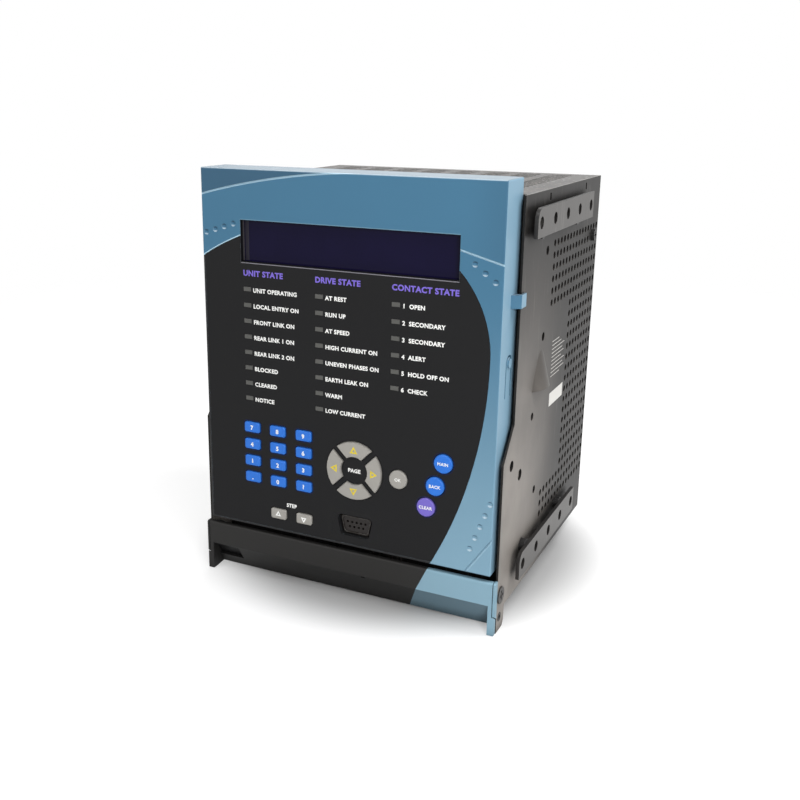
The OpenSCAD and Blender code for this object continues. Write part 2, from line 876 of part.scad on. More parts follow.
module hood() {
    difference() {
        intersection() {
            hood_cone(0);
            translate([plate_in, 0, 0]) cube([2 * HOOD_OUT, chassis_d, chassis_top]);
        }
        hood_cone(plate_t, eps);
    }
}

module left_side_plate() {
    color(CHASSIS) at_front() mirror([1, 0, 0]) side_plate();
}

module right_side_plate() {
    color(CHASSIS) at_front() {
        difference() {
            side_plate();
            hood_cone(plate_t, eps);
        }
        hood();
    }
}

// The plate behind the bezel, folded back along both flanks and open for the cable between the boards
FRONT_OPENING = [70, 60];
FRONT_OPENING_R = 6;

module front_plate() {
    color(CHASSIS) at_front() {
        difference() {
            slab(bezel_d, bay_front) translate([-plate_in, chassis_floor])
                square([2 * plate_in, chassis_ceiling - chassis_floor]);
            at_bezel_bosses() cylinder(h = 2 * bezel_d, d = BEZEL_SCREW + 2 * fit);
            slab(0, 2 * bezel_d) translate([0, bezel_h / 2])
                round_rect(FRONT_OPENING.x, FRONT_OPENING.y, FRONT_OPENING_R);
        }
        both_sides() translate([plate_in - sheet_t, bezel_d, chassis_floor])
            cube([sheet_t, flange_w, chassis_ceiling - chassis_floor]);
    }
}

// Slots of the top cover
COVER_SLOT = [14, 3];
COVER_PITCH = [20, 8];

module top_cover() {
    depth = chassis_d - bezel_d;
    columns = floor((2 * plate_in - COVER_PITCH.x) / COVER_PITCH.x);
    rows = floor((depth - 2 * COVER_PITCH.y) / COVER_PITCH.y);
    color(CHASSIS) at_front() translate([0, bezel_d + depth / 2, chassis_ceiling]) linear_extrude(sheet_t)
        difference() {
            square([2 * plate_in, depth], center = true);
            for (column = [0 : columns - 1], row = [0 : rows - 1]) {
                x = (column - (columns - 1) / 2) * COVER_PITCH.x;
                y = (row - (rows - 1) / 2) * COVER_PITCH.y;
                translate([x, y]) round_rect(COVER_SLOT.x, COVER_SLOT.y, COVER_SLOT.y / 2 - eps, $fn = 16);
            }
        }
}

module bottom_plate() {
    color(CHASSIS) at_front() translate([-plate_in, bezel_d, -chassis_drop])
        cube([2 * plate_in, chassis_d - bezel_d, sheet_t]);
}

// The rear panel, folded forward along both flanks with a tab for each screw, and open for the plug blocks
REAR_FLANGE = 3;
REAR_TAB = [18, 16];

module rear_panel() {
    height = chassis_ceiling - chassis_floor;
    color(CHASSIS) at_front() difference() {
        union() {
            slab(bay_rear, chassis_d) translate([-plate_in, chassis_floor]) square([2 * plate_in, height]);
            both_sides() translate([plate_in - sheet_t, bay_rear - REAR_FLANGE, chassis_floor])
                cube([sheet_t, REAR_FLANGE + eps, height]);
            both_sides() translate([plate_in - sheet_t, bay_rear - REAR_TAB.x, SIDE_SCREW.y - REAR_TAB.y / 2])
                cube([sheet_t, REAR_TAB.x + eps, REAR_TAB.y]);
        }
        slab(0, 2 * chassis_d) plug_outlines(fit);
        translate([-2 * plate_in, SIDE_SCREW.x, SIDE_SCREW.y]) rotate([0, 90, 0])
            cylinder(h = 4 * plate_in, d = SIDE_SCREW_D + 2 * fit);
    }
}

// Slide rails on stand-offs

module rail(hole_z) {
    side_slab(rail_in, rail_out) difference() {
        union() {
            translate([rail_hole_y - rail_end, hole_z - rail_h / 2])
                square([rail_last - rail_hole_y + 2 * rail_end, rail_h - rail_end]);
            translate([rail_hole_y, hole_z - rail_h / 2])
                square([rail_last - rail_hole_y + rail_end, rail_h]);
            translate([rail_hole_y, hole_z + rail_h / 2 - rail_end]) circle(rail_end);
        }
        for (k = [0 : rail_holes - 1]) {
            translate([rail_hole_y + k * rail_pitch, hole_z]) circle(d = rail_hole_d);
        }
    }
}

module upper_left_rail() { color(CHASSIS) at_front() mirror([1, 0, 0]) rail(rail_top_z); }
module upper_right_rail() { color(CHASSIS) at_front() rail(rail_top_z); }
module lower_left_rail() { color(CHASSIS) at_front() mirror([1, 0, 0]) rail(rail_low_z); }
module lower_right_rail() { color(CHASSIS) at_front() rail(rail_low_z); }

// Places of the spacers along a rail, counted in hole pitches
SPACERS = [0.45, rail_holes - 1.8];

module rail_spacers() {
    color(CHASSIS) at_front() both_sides()
        for (z = [rail_top_z - spacer_in, rail_low_z + spacer_in], k = SPACERS) {
            translate([plate_out, rail_hole_y + k * rail_pitch, z]) rotate([0, 90, 0])
                cylinder(h = rail_gap, d = spacer_d);
        }
}

// Screws

// Length and width of a screw's cross recess as shares of its head
RECESS = [0.6, 0.16];

// A pan-head screw along +z, its head's underside at the origin
module pan_screw(d, length, head_d, head_h) {
    difference() {
        cylinder(h = head_h, d = head_d);
        for (turn = [0, 90]) {
            rotate(turn) translate([0, 0, head_h])
                cube([head_d * RECESS.x, head_d * RECESS.y, head_h], center = true);
        }
    }
    translate([0, 0, -length]) cylinder(h = length + eps, d = d);
}

module chassis_screws() {
    color("#1b1b1b") at_front() both_sides() translate([plate_out, SIDE_SCREW.x, SIDE_SCREW.y])
        rotate([0, 90, 0])
            pan_screw(SIDE_SCREW_D, plate_t + sheet_t + SIDE_SCREW_D / 2, SIDE_HEAD[0], SIDE_HEAD[1]);
}

BEZEL_HEAD = [5.6, 2];
BEZEL_GRIP = 8;

module bezel_screws() {
    color(STEEL) at_front() at_bezel_bosses() translate([0, 0, bay_front])
        pan_screw(BEZEL_SCREW, sheet_t + BEZEL_GRIP, BEZEL_HEAD[0], BEZEL_HEAD[1]);
}

// Handle

// Section of the handle's bar and finger scoop
module handle_section() {
    front = -handle_proud;
    translate([front, bar_low]) square([handle_wall, bar_h - bar_round]);
    translate([front + bar_round, bar_top - bar_round]) circle(bar_round);
    translate([front + bar_round, bar_top - bar_round - eps])
        square([handle_wall - bar_round, bar_round + eps]);
    polygon([
        [front, bar_low + eps], [scoop_y, scoop_low], [scoop_y + handle_wall, scoop_low],
        [front + handle_wall, bar_low + handle_wall / 2], [front, bar_low + handle_wall / 2]
    ]);
}

// End wall of the handle inside a side plate: round about the pivot, with the leg at its front
module handle_cheek() {
    front = -handle_proud;
    difference() {
        union() {
            translate([pivot_y, pivot_z]) circle(knuckle_r);
            polygon([
                [front, leg_low], [front, pivot_z], [pivot_y, pivot_z + knuckle_r],
                [pivot_y + knuckle_r, pivot_z], [scoop_y + handle_wall, scoop_low],
                [front + handle_wall, leg_low]
            ]);
        }
        translate([pivot_y, pivot_z]) circle(d = pivot_d + 4 * fit);
    }
}

// The leg's outer part, which turns just outside the fixed corner
module leg_outline() {
    difference() {
        translate([-handle_proud, leg_low]) square([handle_wall, pivot_z - leg_low]);
        translate([pivot_y, pivot_z]) circle(cap_r + handle_clear, $fn = 96);
    }
}

// The pocket at the scoop's left end and the slot for a seal under the bar
POCKET_END = 70;
POCKET_H = 9;
POCKET_RIM = 0.8;
SEAL_X = 13.3;
SEAL_SLOT = [2.6, 1];

module handle_cuts() {
    translate([-cheek_in, -bezel_d, bar_low - POCKET_RIM - POCKET_H])
        cube([cheek_in - POCKET_END, 2 * bezel_d, POCKET_H]);
    translate([SEAL_X - SEAL_SLOT.x / 2, -bezel_d, bar_low - SEAL_SLOT.y])
        cube([SEAL_SLOT.x, bezel_d + handle_wall + 1, SEAL_SLOT.y]);
}

// Guides and shelf of the latch behind the scoop
GUIDE_T = 3;
SHELF_T = 2;

module latch_guides() {
    half = latch_w / 2 + fit;
    front = handle_wall - handle_proud - eps;
    rear = latch_y + latch_t + SHELF_T;
    both_sides() translate([half, 0, 0]) side_slab(0, GUIDE_T) polygon([
        [scoop_y, scoop_low + 1], [rear, scoop_low + 1], [rear, latch_shelf + SHELF_T],
        [front, latch_shelf + SHELF_T], [front, bar_low + 1]
    ]);
    translate([-half - eps, front, latch_shelf]) cube([2 * half + 2 * eps, rear - front, SHELF_T]);
}

module handle() {
    color(BLUE) at_front() {
        difference() {
            side_slab(-handle_half, handle_half) handle_section();
            handle_cuts();
        }
        latch_guides();
        both_sides() {
            side_slab(cheek_in, handle_half) handle_cheek();
            side_slab(handle_half - eps, plate_out - fit) leg_outline();
        }
    }
}

// The fixed corners beside the bar, round about the pivot at their foot
module handle_corner_caps() {
    front = -handle_proud;
    low = pivot_z - cap_r;
    edge = bar_top - bar_round;
    color(BLUE) at_front() both_sides() side_slab(plate_in, plate_out) intersection() {
        union() {
            translate([front, low]) square([nose_front - front, edge - low]);
            translate([front + bar_round, edge]) circle(bar_round);
            translate([front + bar_round, edge - eps])
                square([nose_front - front - bar_round, bar_round + eps]);
        }
        translate([pivot_y, pivot_z]) circle(cap_r, $fn = 96);
    }
}

PIVOT_HEAD_H = 0.8;

module pivot_screws() {
    color(STEEL) at_front() both_sides() translate([plate_out, pivot_y, pivot_z]) rotate([0, 90, 0])
        pan_screw(pivot_d, handle_clear + leg_w, pivot_head_d, PIVOT_HEAD_H);
}

// Split spring pins in the lugs
PIN_PROUD = 0.2;
PIN_WALL = 1.2;
PIN_SPLIT = 0.8;

module guide_pins() {
    length = plate_t + PIN_PROUD;
    color(STEEL) at_front() both_sides() translate([plate_in, pivot_y, pivot_z - guide_drop])
        rotate([0, 90, 0]) difference() {
            cylinder(h = length, d = guide_d);
            translate([0, 0, -eps]) cylinder(h = 2 * length, d = guide_d - 2 * PIN_WALL);
            translate([0, -PIN_SPLIT / 2, -eps]) cube([guide_d, PIN_SPLIT, 2 * length]);
        }
}

// A sliding tongue with a hook at its foot
HOOK_OUT = 3;
HOOK_RISE = 1.5;

module latch() {
    back = latch_y + latch_t;
    color(STEEL) at_front() side_slab(-latch_w / 2, latch_w / 2) polygon([
        [latch_y, latch_low], [back + HOOK_OUT, latch_low + HOOK_RISE],
        [back + HOOK_OUT, latch_low + 2 * HOOK_RISE], [back, latch_low + 3 * HOOK_RISE],
        [back, latch_top], [latch_y, latch_top]
    ]);
}

// The spring between the tongue and the shelf, as a hollow sleeve of its outer size
SPRING_WIRE = 0.6;

module latch_spring() {
    length = latch_shelf - latch_top - 2 * fit;
    color(STEEL) at_front() translate([0, latch_y + latch_t / 2, latch_top + fit]) difference() {
        cylinder(h = length, d = spring_d);
        translate([0, 0, -eps]) cylinder(h = 2 * length, d = spring_d - 2 * SPRING_WIRE);
    }
}

// Boards and parts inside

BOARD_FRONT = 44;
BOARD_REAR_GAP = 12;
BOARD_HEADROOM = 4;

module large_board(x) {
    depth = bay_rear - BOARD_REAR_GAP - BOARD_FRONT;
    color(BOARD) at_front() translate([x - board_t / 2, BOARD_FRONT, chassis_floor])
        cube([board_t, depth, chassis_ceiling - chassis_floor - BOARD_HEADROOM]);
}

module main_board() { large_board(-board_x); }
module supply_board() { large_board(board_x); }

// Sealed relays on the inner face of the main board
RELAY_SIZE = [13, 29];
RELAY_PLACE = [60, 20];
RELAY_GAP = 4;
RELAY_COUNT = 6;

module output_relays() {
    color("#3d3d3f") at_front() for (k = [0 : RELAY_COUNT - 1]) {
        translate([board_t / 2 - board_x, RELAY_PLACE.x, RELAY_PLACE.y + k * (relay_w + RELAY_GAP)])
            cube([RELAY_SIZE.x, RELAY_SIZE.y, relay_w]);
    }
}

// Laminated cores with their windings, standing on the bottom plate
CORE_STACK = 18;
CORE_FRONT = 48;
CORE_PITCH = 28;
CORE_COUNT = 4;
WINDING = [18, 24, 15];

module input_transformers() {
    color("#6d4c32") at_front() for (k = [0 : CORE_COUNT - 1]) {
        translate([0, CORE_FRONT + CORE_STACK / 2 + k * CORE_PITCH, chassis_floor + core_w / 2]) {
            cube([core_w, CORE_STACK, core_w], center = true);
            cube(WINDING, center = true);
        }
    }
}

// Rear plug blocks and their blades

module plug_outlines(grow) {
    for (x = [-1, 1]) {
        translate([x * board_x, (chassis_floor + chassis_ceiling) / 2])
            square([plug_w + 2 * grow, plug_h + 2 * grow], center = true);
    }
}

PLUG_FLANGE = 3;
BLADE = [5, 1.2];

module at_blades() {
    pitch = plug_h / (blade_rows + 1);
    for (x = [-1, 1], column = [-1, 1], k = [1 : blade_rows]) {
        translate([x * board_x + column * plug_w / 4, 0,
            (chassis_floor + chassis_ceiling - plug_h) / 2 + k * pitch]) children();
    }
}

module rear_plug_blocks() {
    color(BLACK) at_front() difference() {
        union() {
            slab(bay_rear - BOARD_REAR_GAP, chassis_d + plug_proud) plug_outlines(0);
            slab(bay_rear - PLUG_FLANGE, bay_rear) plug_outlines(PLUG_FLANGE);
        }
        at_blades() translate([-BLADE.x / 2 - fit, bay_rear, -BLADE.y / 2 - fit])
            cube([BLADE.x + 2 * fit, rear_reach, BLADE.y + 2 * fit]);
    }
}

module rear_blades() {
    color("#c9a24a") at_front() at_blades() translate([-BLADE.x / 2, bay_rear, -BLADE.y / 2])
        cube([BLADE.x, rear_reach - bay_rear, BLADE.y]);
}

front_bezel();
faceplate_overlay();
display_window();
display_module();
display_board();
status_strip_left();
status_strip_middle();
status_strip_right();
front_board();
port_shell();
port_insert();
key_0();
key_1();
key_2();
key_3();
key_4();
key_5();
key_6();
key_7();
key_8();
key_9();
key_point();
key_help();
value_up_key();
value_down_key();
ring_up_key();
ring_left_key();
ring_down_key();
ring_right_key();
enter_key();
menu_key();
escape_key();
reset_key();
front_plate();
left_side_plate();
right_side_plate();
top_cover();
bottom_plate();
rear_panel();
upper_left_rail();
upper_right_rail();
lower_left_rail();
lower_right_rail();
rail_spacers();
chassis_screws();
bezel_screws();
handle();
handle_corner_caps();
pivot_screws();
guide_pins();
latch();
latch_spring();
main_board();
supply_board();
input_transformers();
output_relays();
rear_plug_blocks();
rear_blades();
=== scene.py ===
"""Looks of a protection relay's draw-out unit: finishes, printed legends, small trim, light and camera."""

import logging
import math
from dataclasses import dataclass, field
from enum import Enum
from functools import partial, reduce
from typing import ClassVar, Sequence, Union

import bmesh
import bpy
from mathutils import Matrix, Vector


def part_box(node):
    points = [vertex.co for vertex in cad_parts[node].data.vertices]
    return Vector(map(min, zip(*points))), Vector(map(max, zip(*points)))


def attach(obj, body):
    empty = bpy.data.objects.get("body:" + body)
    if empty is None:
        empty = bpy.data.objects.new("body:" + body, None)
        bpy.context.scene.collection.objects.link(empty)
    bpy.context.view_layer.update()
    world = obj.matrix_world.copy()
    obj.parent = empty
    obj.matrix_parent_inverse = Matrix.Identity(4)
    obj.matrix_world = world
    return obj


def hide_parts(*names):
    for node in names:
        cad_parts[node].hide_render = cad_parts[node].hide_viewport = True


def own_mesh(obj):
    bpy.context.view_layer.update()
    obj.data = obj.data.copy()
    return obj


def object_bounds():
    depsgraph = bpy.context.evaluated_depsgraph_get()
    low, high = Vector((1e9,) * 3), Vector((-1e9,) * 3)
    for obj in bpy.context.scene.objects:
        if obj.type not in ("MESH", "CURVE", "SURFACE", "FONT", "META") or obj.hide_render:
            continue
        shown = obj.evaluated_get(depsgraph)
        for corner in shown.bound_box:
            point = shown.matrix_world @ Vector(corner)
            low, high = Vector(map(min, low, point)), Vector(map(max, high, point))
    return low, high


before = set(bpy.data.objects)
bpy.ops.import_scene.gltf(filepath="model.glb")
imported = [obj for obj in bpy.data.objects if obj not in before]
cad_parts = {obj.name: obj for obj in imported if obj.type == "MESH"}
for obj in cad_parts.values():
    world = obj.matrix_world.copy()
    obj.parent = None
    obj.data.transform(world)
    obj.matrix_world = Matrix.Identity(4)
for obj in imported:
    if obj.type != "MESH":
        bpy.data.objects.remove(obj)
CAD_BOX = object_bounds()

LOG = logging.getLogger("relay")
MM = 0.001
WHITE = "#ffffff"

# Depth of printed ink and the lift that keeps it clear of the surface under it
INK = 0.008 * MM
LIFT = 0.004 * MM

# Points on a rounded corner and on a circle of the print
CORNER_STEPS = 6
CIRCLE_STEPS = 48

# Numbers of the colour mix node's inputs and of its colour output
MIX_SHARE, MIX_FIRST, MIX_SECOND, MIX_RESULT = 0, 6, 7, 2

# A node's output, and all that an input takes: an output, a plain value or a hex colour
Socket = bpy.types.NodeSocket
Source = Union[Socket, float, str, Sequence[float]]


class Body(Enum):
    """CAD bodies that the added pieces ride on, beside the keys."""

    CHASSIS = "chassis"
    HANDLE = "handle"


class Slot(Enum):
    """The record's material slots nearest to the added pieces, carried along but not given to them."""

    OVERLAY = "overlay_black"
    PANE = "display_pane"
    CHASSIS = "chassis_black"
    HANDLE = "handle_blue"
    STEEL = "bright_steel"
    KEY_BLUE = "key_blue"
    KEY_GREY = "key_grey"
    KEY_VIOLET = "key_violet"


class Align(Enum):
    """Where a line of lettering starts from its place."""

    LEFT = "LEFT"
    CENTRE = "CENTER"


class Facing(Enum):
    """Directions that a printed surface can face, as (across, up, outward) axes."""

    FRONT = ((1, 0, 0), (0, 0, 1), (0, -1, 0))
    RIGHT = ((0, 1, 0), (0, 0, 1), (1, 0, 0))

    def matrix(self, place: Vector) -> Matrix:
        """Returns the matrix that stands a flat drawing on the surface at a place."""
        return Matrix.Translation(place) @ Matrix(self.value).transposed().to_4x4()


def linear(colour: str) -> tuple[float, float, float, float]:
    """Turns a screen colour into the linear one that shaders use, by the sRGB standard's curve.

    Args:
        colour: Six hex digits after a hash.

    Returns:
        Linear red, green, blue and an alpha of one.
    """
    parts = [int(colour[k:k + 2], 16) / 255 for k in (1, 3, 5)]
    levels = [c / 12.92 if c <= 0.04045 else ((c + 0.055) / 1.055) ** 2.4 for c in parts]
    return (*levels, 1.0)


class NodeTree:
    """A short hand for wiring shader nodes in one tree."""

    # How far a normal leans left or right on a broad side, and not on edges and in holes
    SIDEWAYS = (0.6, 0.9)

    def __init__(self, tree: bpy.types.NodeTree) -> None:
        """Keeps the tree that the nodes go into."""
        self.tree = tree

    def fill(self, node: bpy.types.Node, sources: dict[int | str, Source]) -> None:
        """Links a node's inputs to outputs, or sets them to plain values or colours.

        Args:
            node: The node.
            sources: The source of each input, by the input's name or number.
        """
        for key, source in sources.items():
            if isinstance(source, Socket):
                self.tree.links.new(source, node.inputs[key])
            else:
                node.inputs[key].default_value = linear(source) if isinstance(source, str) else source

    def put(self, kind: str, sources: dict[int | str, Source] | None = None,
            **settings: object) -> bpy.types.Node:
        """Adds a node.

        Args:
            kind: The node's type name.
            sources: The source of each input, by the input's name or number.
            settings: Properties of the node.

        Returns:
            The new node.
        """
        made = self.tree.nodes.new(kind)
        for name, value in settings.items():
            setattr(made, name, value)
        self.fill(made, sources or {})
        return made

    def math(self, operation: str, *sources: Source) -> Socket:
        """Returns the result of a math node."""
        return self.put("ShaderNodeMath", dict(enumerate(sources)), operation=operation).outputs[0]

    def times(self, *factors: Source) -> Socket:
        """Returns the product of values."""
        return reduce(partial(self.math, "MULTIPLY"), factors)

    def most(self, *values: Source) -> Socket:
        """Returns the largest of values."""
        return reduce(partial(self.math, "MAXIMUM"), values)

    def scaled(self, value: Source, factor: float, offset: Source) -> Socket:
        """Returns a value times a factor, plus an offset."""
        return self.math("MULTIPLY_ADD", value, factor, offset)

    def minus(self, value: Source, amount: Source) -> Socket:
        """Returns a value less an amount."""
        return self.math("SUBTRACT", value, amount)

    def rest(self, share: Source) -> Socket:
        """Returns what a share leaves of one."""
        return self.minus(1.0, share)

    def size(self, value: Source) -> Socket:
        """Returns a value without its sign."""
        return self.math("ABSOLUTE", value)

    def below(self, value: Source, limit: Source) -> Socket:
        """Returns one under a limit and nought over it."""
        return self.math("LESS_THAN", value, limit)

    def above(self, value: Source, limit: Source) -> Socket:
        """Returns one over a limit and nought under it."""
        return self.math("GREATER_THAN", value, limit)

    def line(self, run: Source, start: float, slope: float, level: float) -> Socket:
        """Returns the level of a straight line at a run, from its level at a start."""
        return self.scaled(self.minus(run, start), slope, level)

    def vector(self, operation: str, *sources: Source, value: bool = False) -> Socket:
        """Returns the vector of a vector math node, or its value."""
        made = self.put("ShaderNodeVectorMath", dict(enumerate(sources)), operation=operation)
        return made.outputs[1 if value else 0]

    def ramp(self, source: Source, low: float, high: float) -> Socket:
        """Returns a smooth step of a value between two limits."""
        given = {"Value": source, "From Min": low, "From Max": high}
        return self.put("ShaderNodeMapRange", given, interpolation_type="SMOOTHSTEP").outputs[0]

    def mix(self, share: Source, first: Source, second: Source) -> Socket:
        """Returns a blend of two colours."""
        given = {MIX_SHARE: share, MIX_FIRST: first, MIX_SECOND: second}
        return self.put("ShaderNodeMix", given, data_type="RGBA").outputs[MIX_RESULT]

    def place(self) -> Socket:
        """Returns the point on the piece in the part's own frame."""
        return self.put("ShaderNodeTexCoord").outputs["Object"]

    def axes(self, source: Source) -> bpy.types.NodeOutputs:
        """Returns the three parts of a vector."""
        return self.put("ShaderNodeSeparateXYZ", {0: source}).outputs

    def facing(self) -> bpy.types.NodeOutputs:
        """Returns the parts of the direction that the surface faces, in the piece's own frame."""
        return self.axes(self.put("ShaderNodeTexCoord").outputs["Normal"])

    def sideways(self) -> Socket:
        """Returns one on broad left and right faces, and nought on their edges and in their holes."""
        return self.ramp(self.size(self.facing()["X"]), *self.SIDEWAYS)

    def noise(self, scale: Source, detail: float, vector: Source | None = None) -> Socket:
        """Returns a noise value on the piece."""
        given = {"Scale": scale, "Detail": detail, "Vector": self.place() if vector is None else vector}
        return self.put("ShaderNodeTexNoise", given).outputs[0]


class Effects:
    """Shader node groups that several finishes share, each built once."""

    # Limits of the smooth steps that make each mask
    EDGE_TURN = (0.02, 0.22)
    EDGE_PATCHES = (0.35, 0.65)
    SCUFF_LINES = (0.58, 0.74)
    UPWARD = (0.3, 1.0)
    DUST_PATCHES = (0.3, 0.75)
    CLOSED_IN = (0.15, 0.7)
    GRIME_PATCHES = (0.1, 0.6)

    # What the patches add to the painted recess shade, and its least share
    GRIME_HELD = (0.4, 0.6)

    # Scuffs are drawn out along the height
    SCUFF_STRETCH = (6.0, 6.0, 0.5)

    # Rays for the rounded edges and for what is closed in
    EDGE_SAMPLES = 4
    RECESS_SAMPLES = 6

    def __init__(self) -> None:
        """Builds every group."""
        self.grain = self._grain()
        self.wear = self._wear()
        self.scuffs = self._scuffs()
        self.dust = self._dust()
        self.grime = self._grime()

    @staticmethod
    def _start(name: str, inputs: dict[str, float]) -> tuple[NodeTree, bpy.types.NodeOutputs]:
        """Starts a group.

        Args:
            name: The group's name.
            inputs: Default of each named input value.

        Returns:
            The group's wiring and its inputs by name.
        """
        group = bpy.data.node_groups.new(name, "ShaderNodeTree")
        for label, default in inputs.items():
            socket = group.interface.new_socket(label, in_out="INPUT", socket_type="NodeSocketFloat")
            socket.default_value = default
        wires = NodeTree(group)
        return wires, wires.put("NodeGroupInput").outputs

    @staticmethod
    def _end(wires: NodeTree, outputs: dict[str, Socket]) -> bpy.types.NodeTree:
        """Gives a group its outputs.

        Args:
            wires: The group's wiring.
            outputs: Source of each named output value.

        Returns:
            The group.
        """
        for label in outputs:
            wires.tree.interface.new_socket(label, in_out="OUTPUT", socket_type="NodeSocketFloat")
        wires.put("NodeGroupOutput", outputs)
        return wires.tree

    def _grain(self) -> bpy.types.NodeTree:
        """Makes fine moulded or sprayed texture: a height for bump and a slow mottle.

        Returns:
            The group.
        """
        wires, given = self._start("surface_grain", {"Scale": 2200.0, "Mottle Scale": 30.0})
        fine = wires.noise(given["Scale"], detail=2.0)
        slow = wires.noise(given["Mottle Scale"], detail=4.0)
        return self._end(wires, {"Height": fine, "Mottle": slow})

    def _wear(self) -> bpy.types.NodeTree:
        """Makes rubbed edges: where the rounded normal leaves the true one, broken up by noise.

        Returns:
            The group.
        """
        wires, given = self._start("edge_wear", {"Radius": 0.4 * MM, "Break Up": 400.0})
        rounded = wires.put("ShaderNodeBevel", {"Radius": given["Radius"]}, samples=self.EDGE_SAMPLES)
        true_normal = wires.put("ShaderNodeNewGeometry").outputs["Normal"]
        facing = wires.vector("DOT_PRODUCT", rounded.outputs[0], true_normal, value=True)
        edge = wires.ramp(wires.rest(facing), *self.EDGE_TURN)
        patch = wires.ramp(wires.noise(given["Break Up"], detail=4.0), *self.EDGE_PATCHES)
        return self._end(wires, {"Mask": wires.times(edge, patch)})

    def _scuffs(self) -> bpy.types.NodeTree:
        """Makes thin handling marks.

        Returns:
            The group.
        """
        wires, given = self._start("scuff_marks", {"Scale": 60.0})
        stretched = wires.vector("MULTIPLY", wires.place(), self.SCUFF_STRETCH)
        lines = wires.noise(given["Scale"], detail=6.0, vector=stretched)
        return self._end(wires, {"Mask": wires.ramp(lines, *self.SCUFF_LINES)})

    def _dust(self) -> bpy.types.NodeTree:
        """Makes dust that settles on what faces up.

        Returns:
            The group.
        """
        wires, given = self._start("settled_dust", {"Scale": 90.0})
        normal = wires.put("ShaderNodeNewGeometry").outputs["Normal"]
        upward = wires.ramp(wires.axes(normal)["Z"], *self.UPWARD)
        patch = wires.ramp(wires.noise(given["Scale"], detail=5.0), *self.DUST_PATCHES)
        return self._end(wires, {"Mask": wires.times(upward, patch)})

    def _grime(self) -> bpy.types.NodeTree:
        """Makes painted shade: darkens recesses and the surface beside what stands on it, broken up by
        noise.

        Returns:
            The group.
        """
        wires, given = self._start("painted_recess_shade", {"Reach": 6.0 * MM, "Break Up": 150.0})
        open_share = wires.put("ShaderNodeAmbientOcclusion", {"Distance": given["Reach"]},
                               samples=self.RECESS_SAMPLES)
        closed = wires.ramp(wires.rest(open_share.outputs["AO"]), *self.CLOSED_IN)
        patch = wires.ramp(wires.noise(given["Break Up"], detail=3.0), *self.GRIME_PATCHES)
        return self._end(wires, {"Mask": wires.times(closed, wires.scaled(patch, *self.GRIME_HELD))})


@dataclass
class Face:
    """Places on the bezel's face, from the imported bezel's own box."""

    shoulder_x: float = -8.1 * MM
    shoulder_drop: float = 125.2 * MM
    shoulder_r: float = 150.0 * MM
    field_x: float = 82.7 * MM
    field_rise: float = 118.0 * MM
    field_r_top: float = 62.0 * MM
    field_r_low: float = 251.5 * MM
    field_top: float = 15.0 * MM
    arc_r: float = 436.4 * MM
    arc_x: float = 26.1 * MM
    arc_drop: float = 435.7 * MM
    line_x: float = 64.9 * MM
    line_rise: float = 15.8 * MM
    line_slope: float = -0.264
    line_half: float = 0.38 * MM
    line_soft: float = 1.6
    edge_half: float = 0.3 * MM
    sill_half: float = 0.2 * MM
    sill_share: float = 0.2
    rim_depth: float = 2.5 * MM
    wall_depth: float = 4.3 * MM
    inner_half: float = 86.0 * MM
    window_left: float = -63.1 * MM
    window_drop: float = 50.5 * MM
    window_h: float = 23.2 * MM
    relief_depth: float = 1.2 * MM
    corner_shades: tuple[float, float] = (0.62, 0.2)
    corner_fade: float = 24.0 * MM
    foot_x: float = 73.3 * MM
    foot_slope: float = 1.456
    foot_rise: float = 22.0 * MM
    foot_share: float = 0.3
    bottom: float = field(init=False)
    top: float = field(init=False)
    front: float = field(init=False)

    def __post_init__(self) -> None:
        """Reads the bezel's lower and upper edge and its face."""
        low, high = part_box("front_bezel")
        self.bottom, self.top, self.front = low.z, high.z, low.y

    @property
    def arc_centre(self) -> tuple[float, float]:
        """Centre of the long relief arc, across and up."""
        return self.arc_x, self.top - self.arc_drop

    @property
    def window_low(self) -> float:
        """Height of the display opening's lower edge."""
        return self.top - self.window_drop

    @property
    def shoulder(self) -> tuple[float, float]:
        """Centre of the shoulder's arc beside the display, across and up."""
        return self.shoulder_x, self.window_low - self.shoulder_drop


FACE = Face()


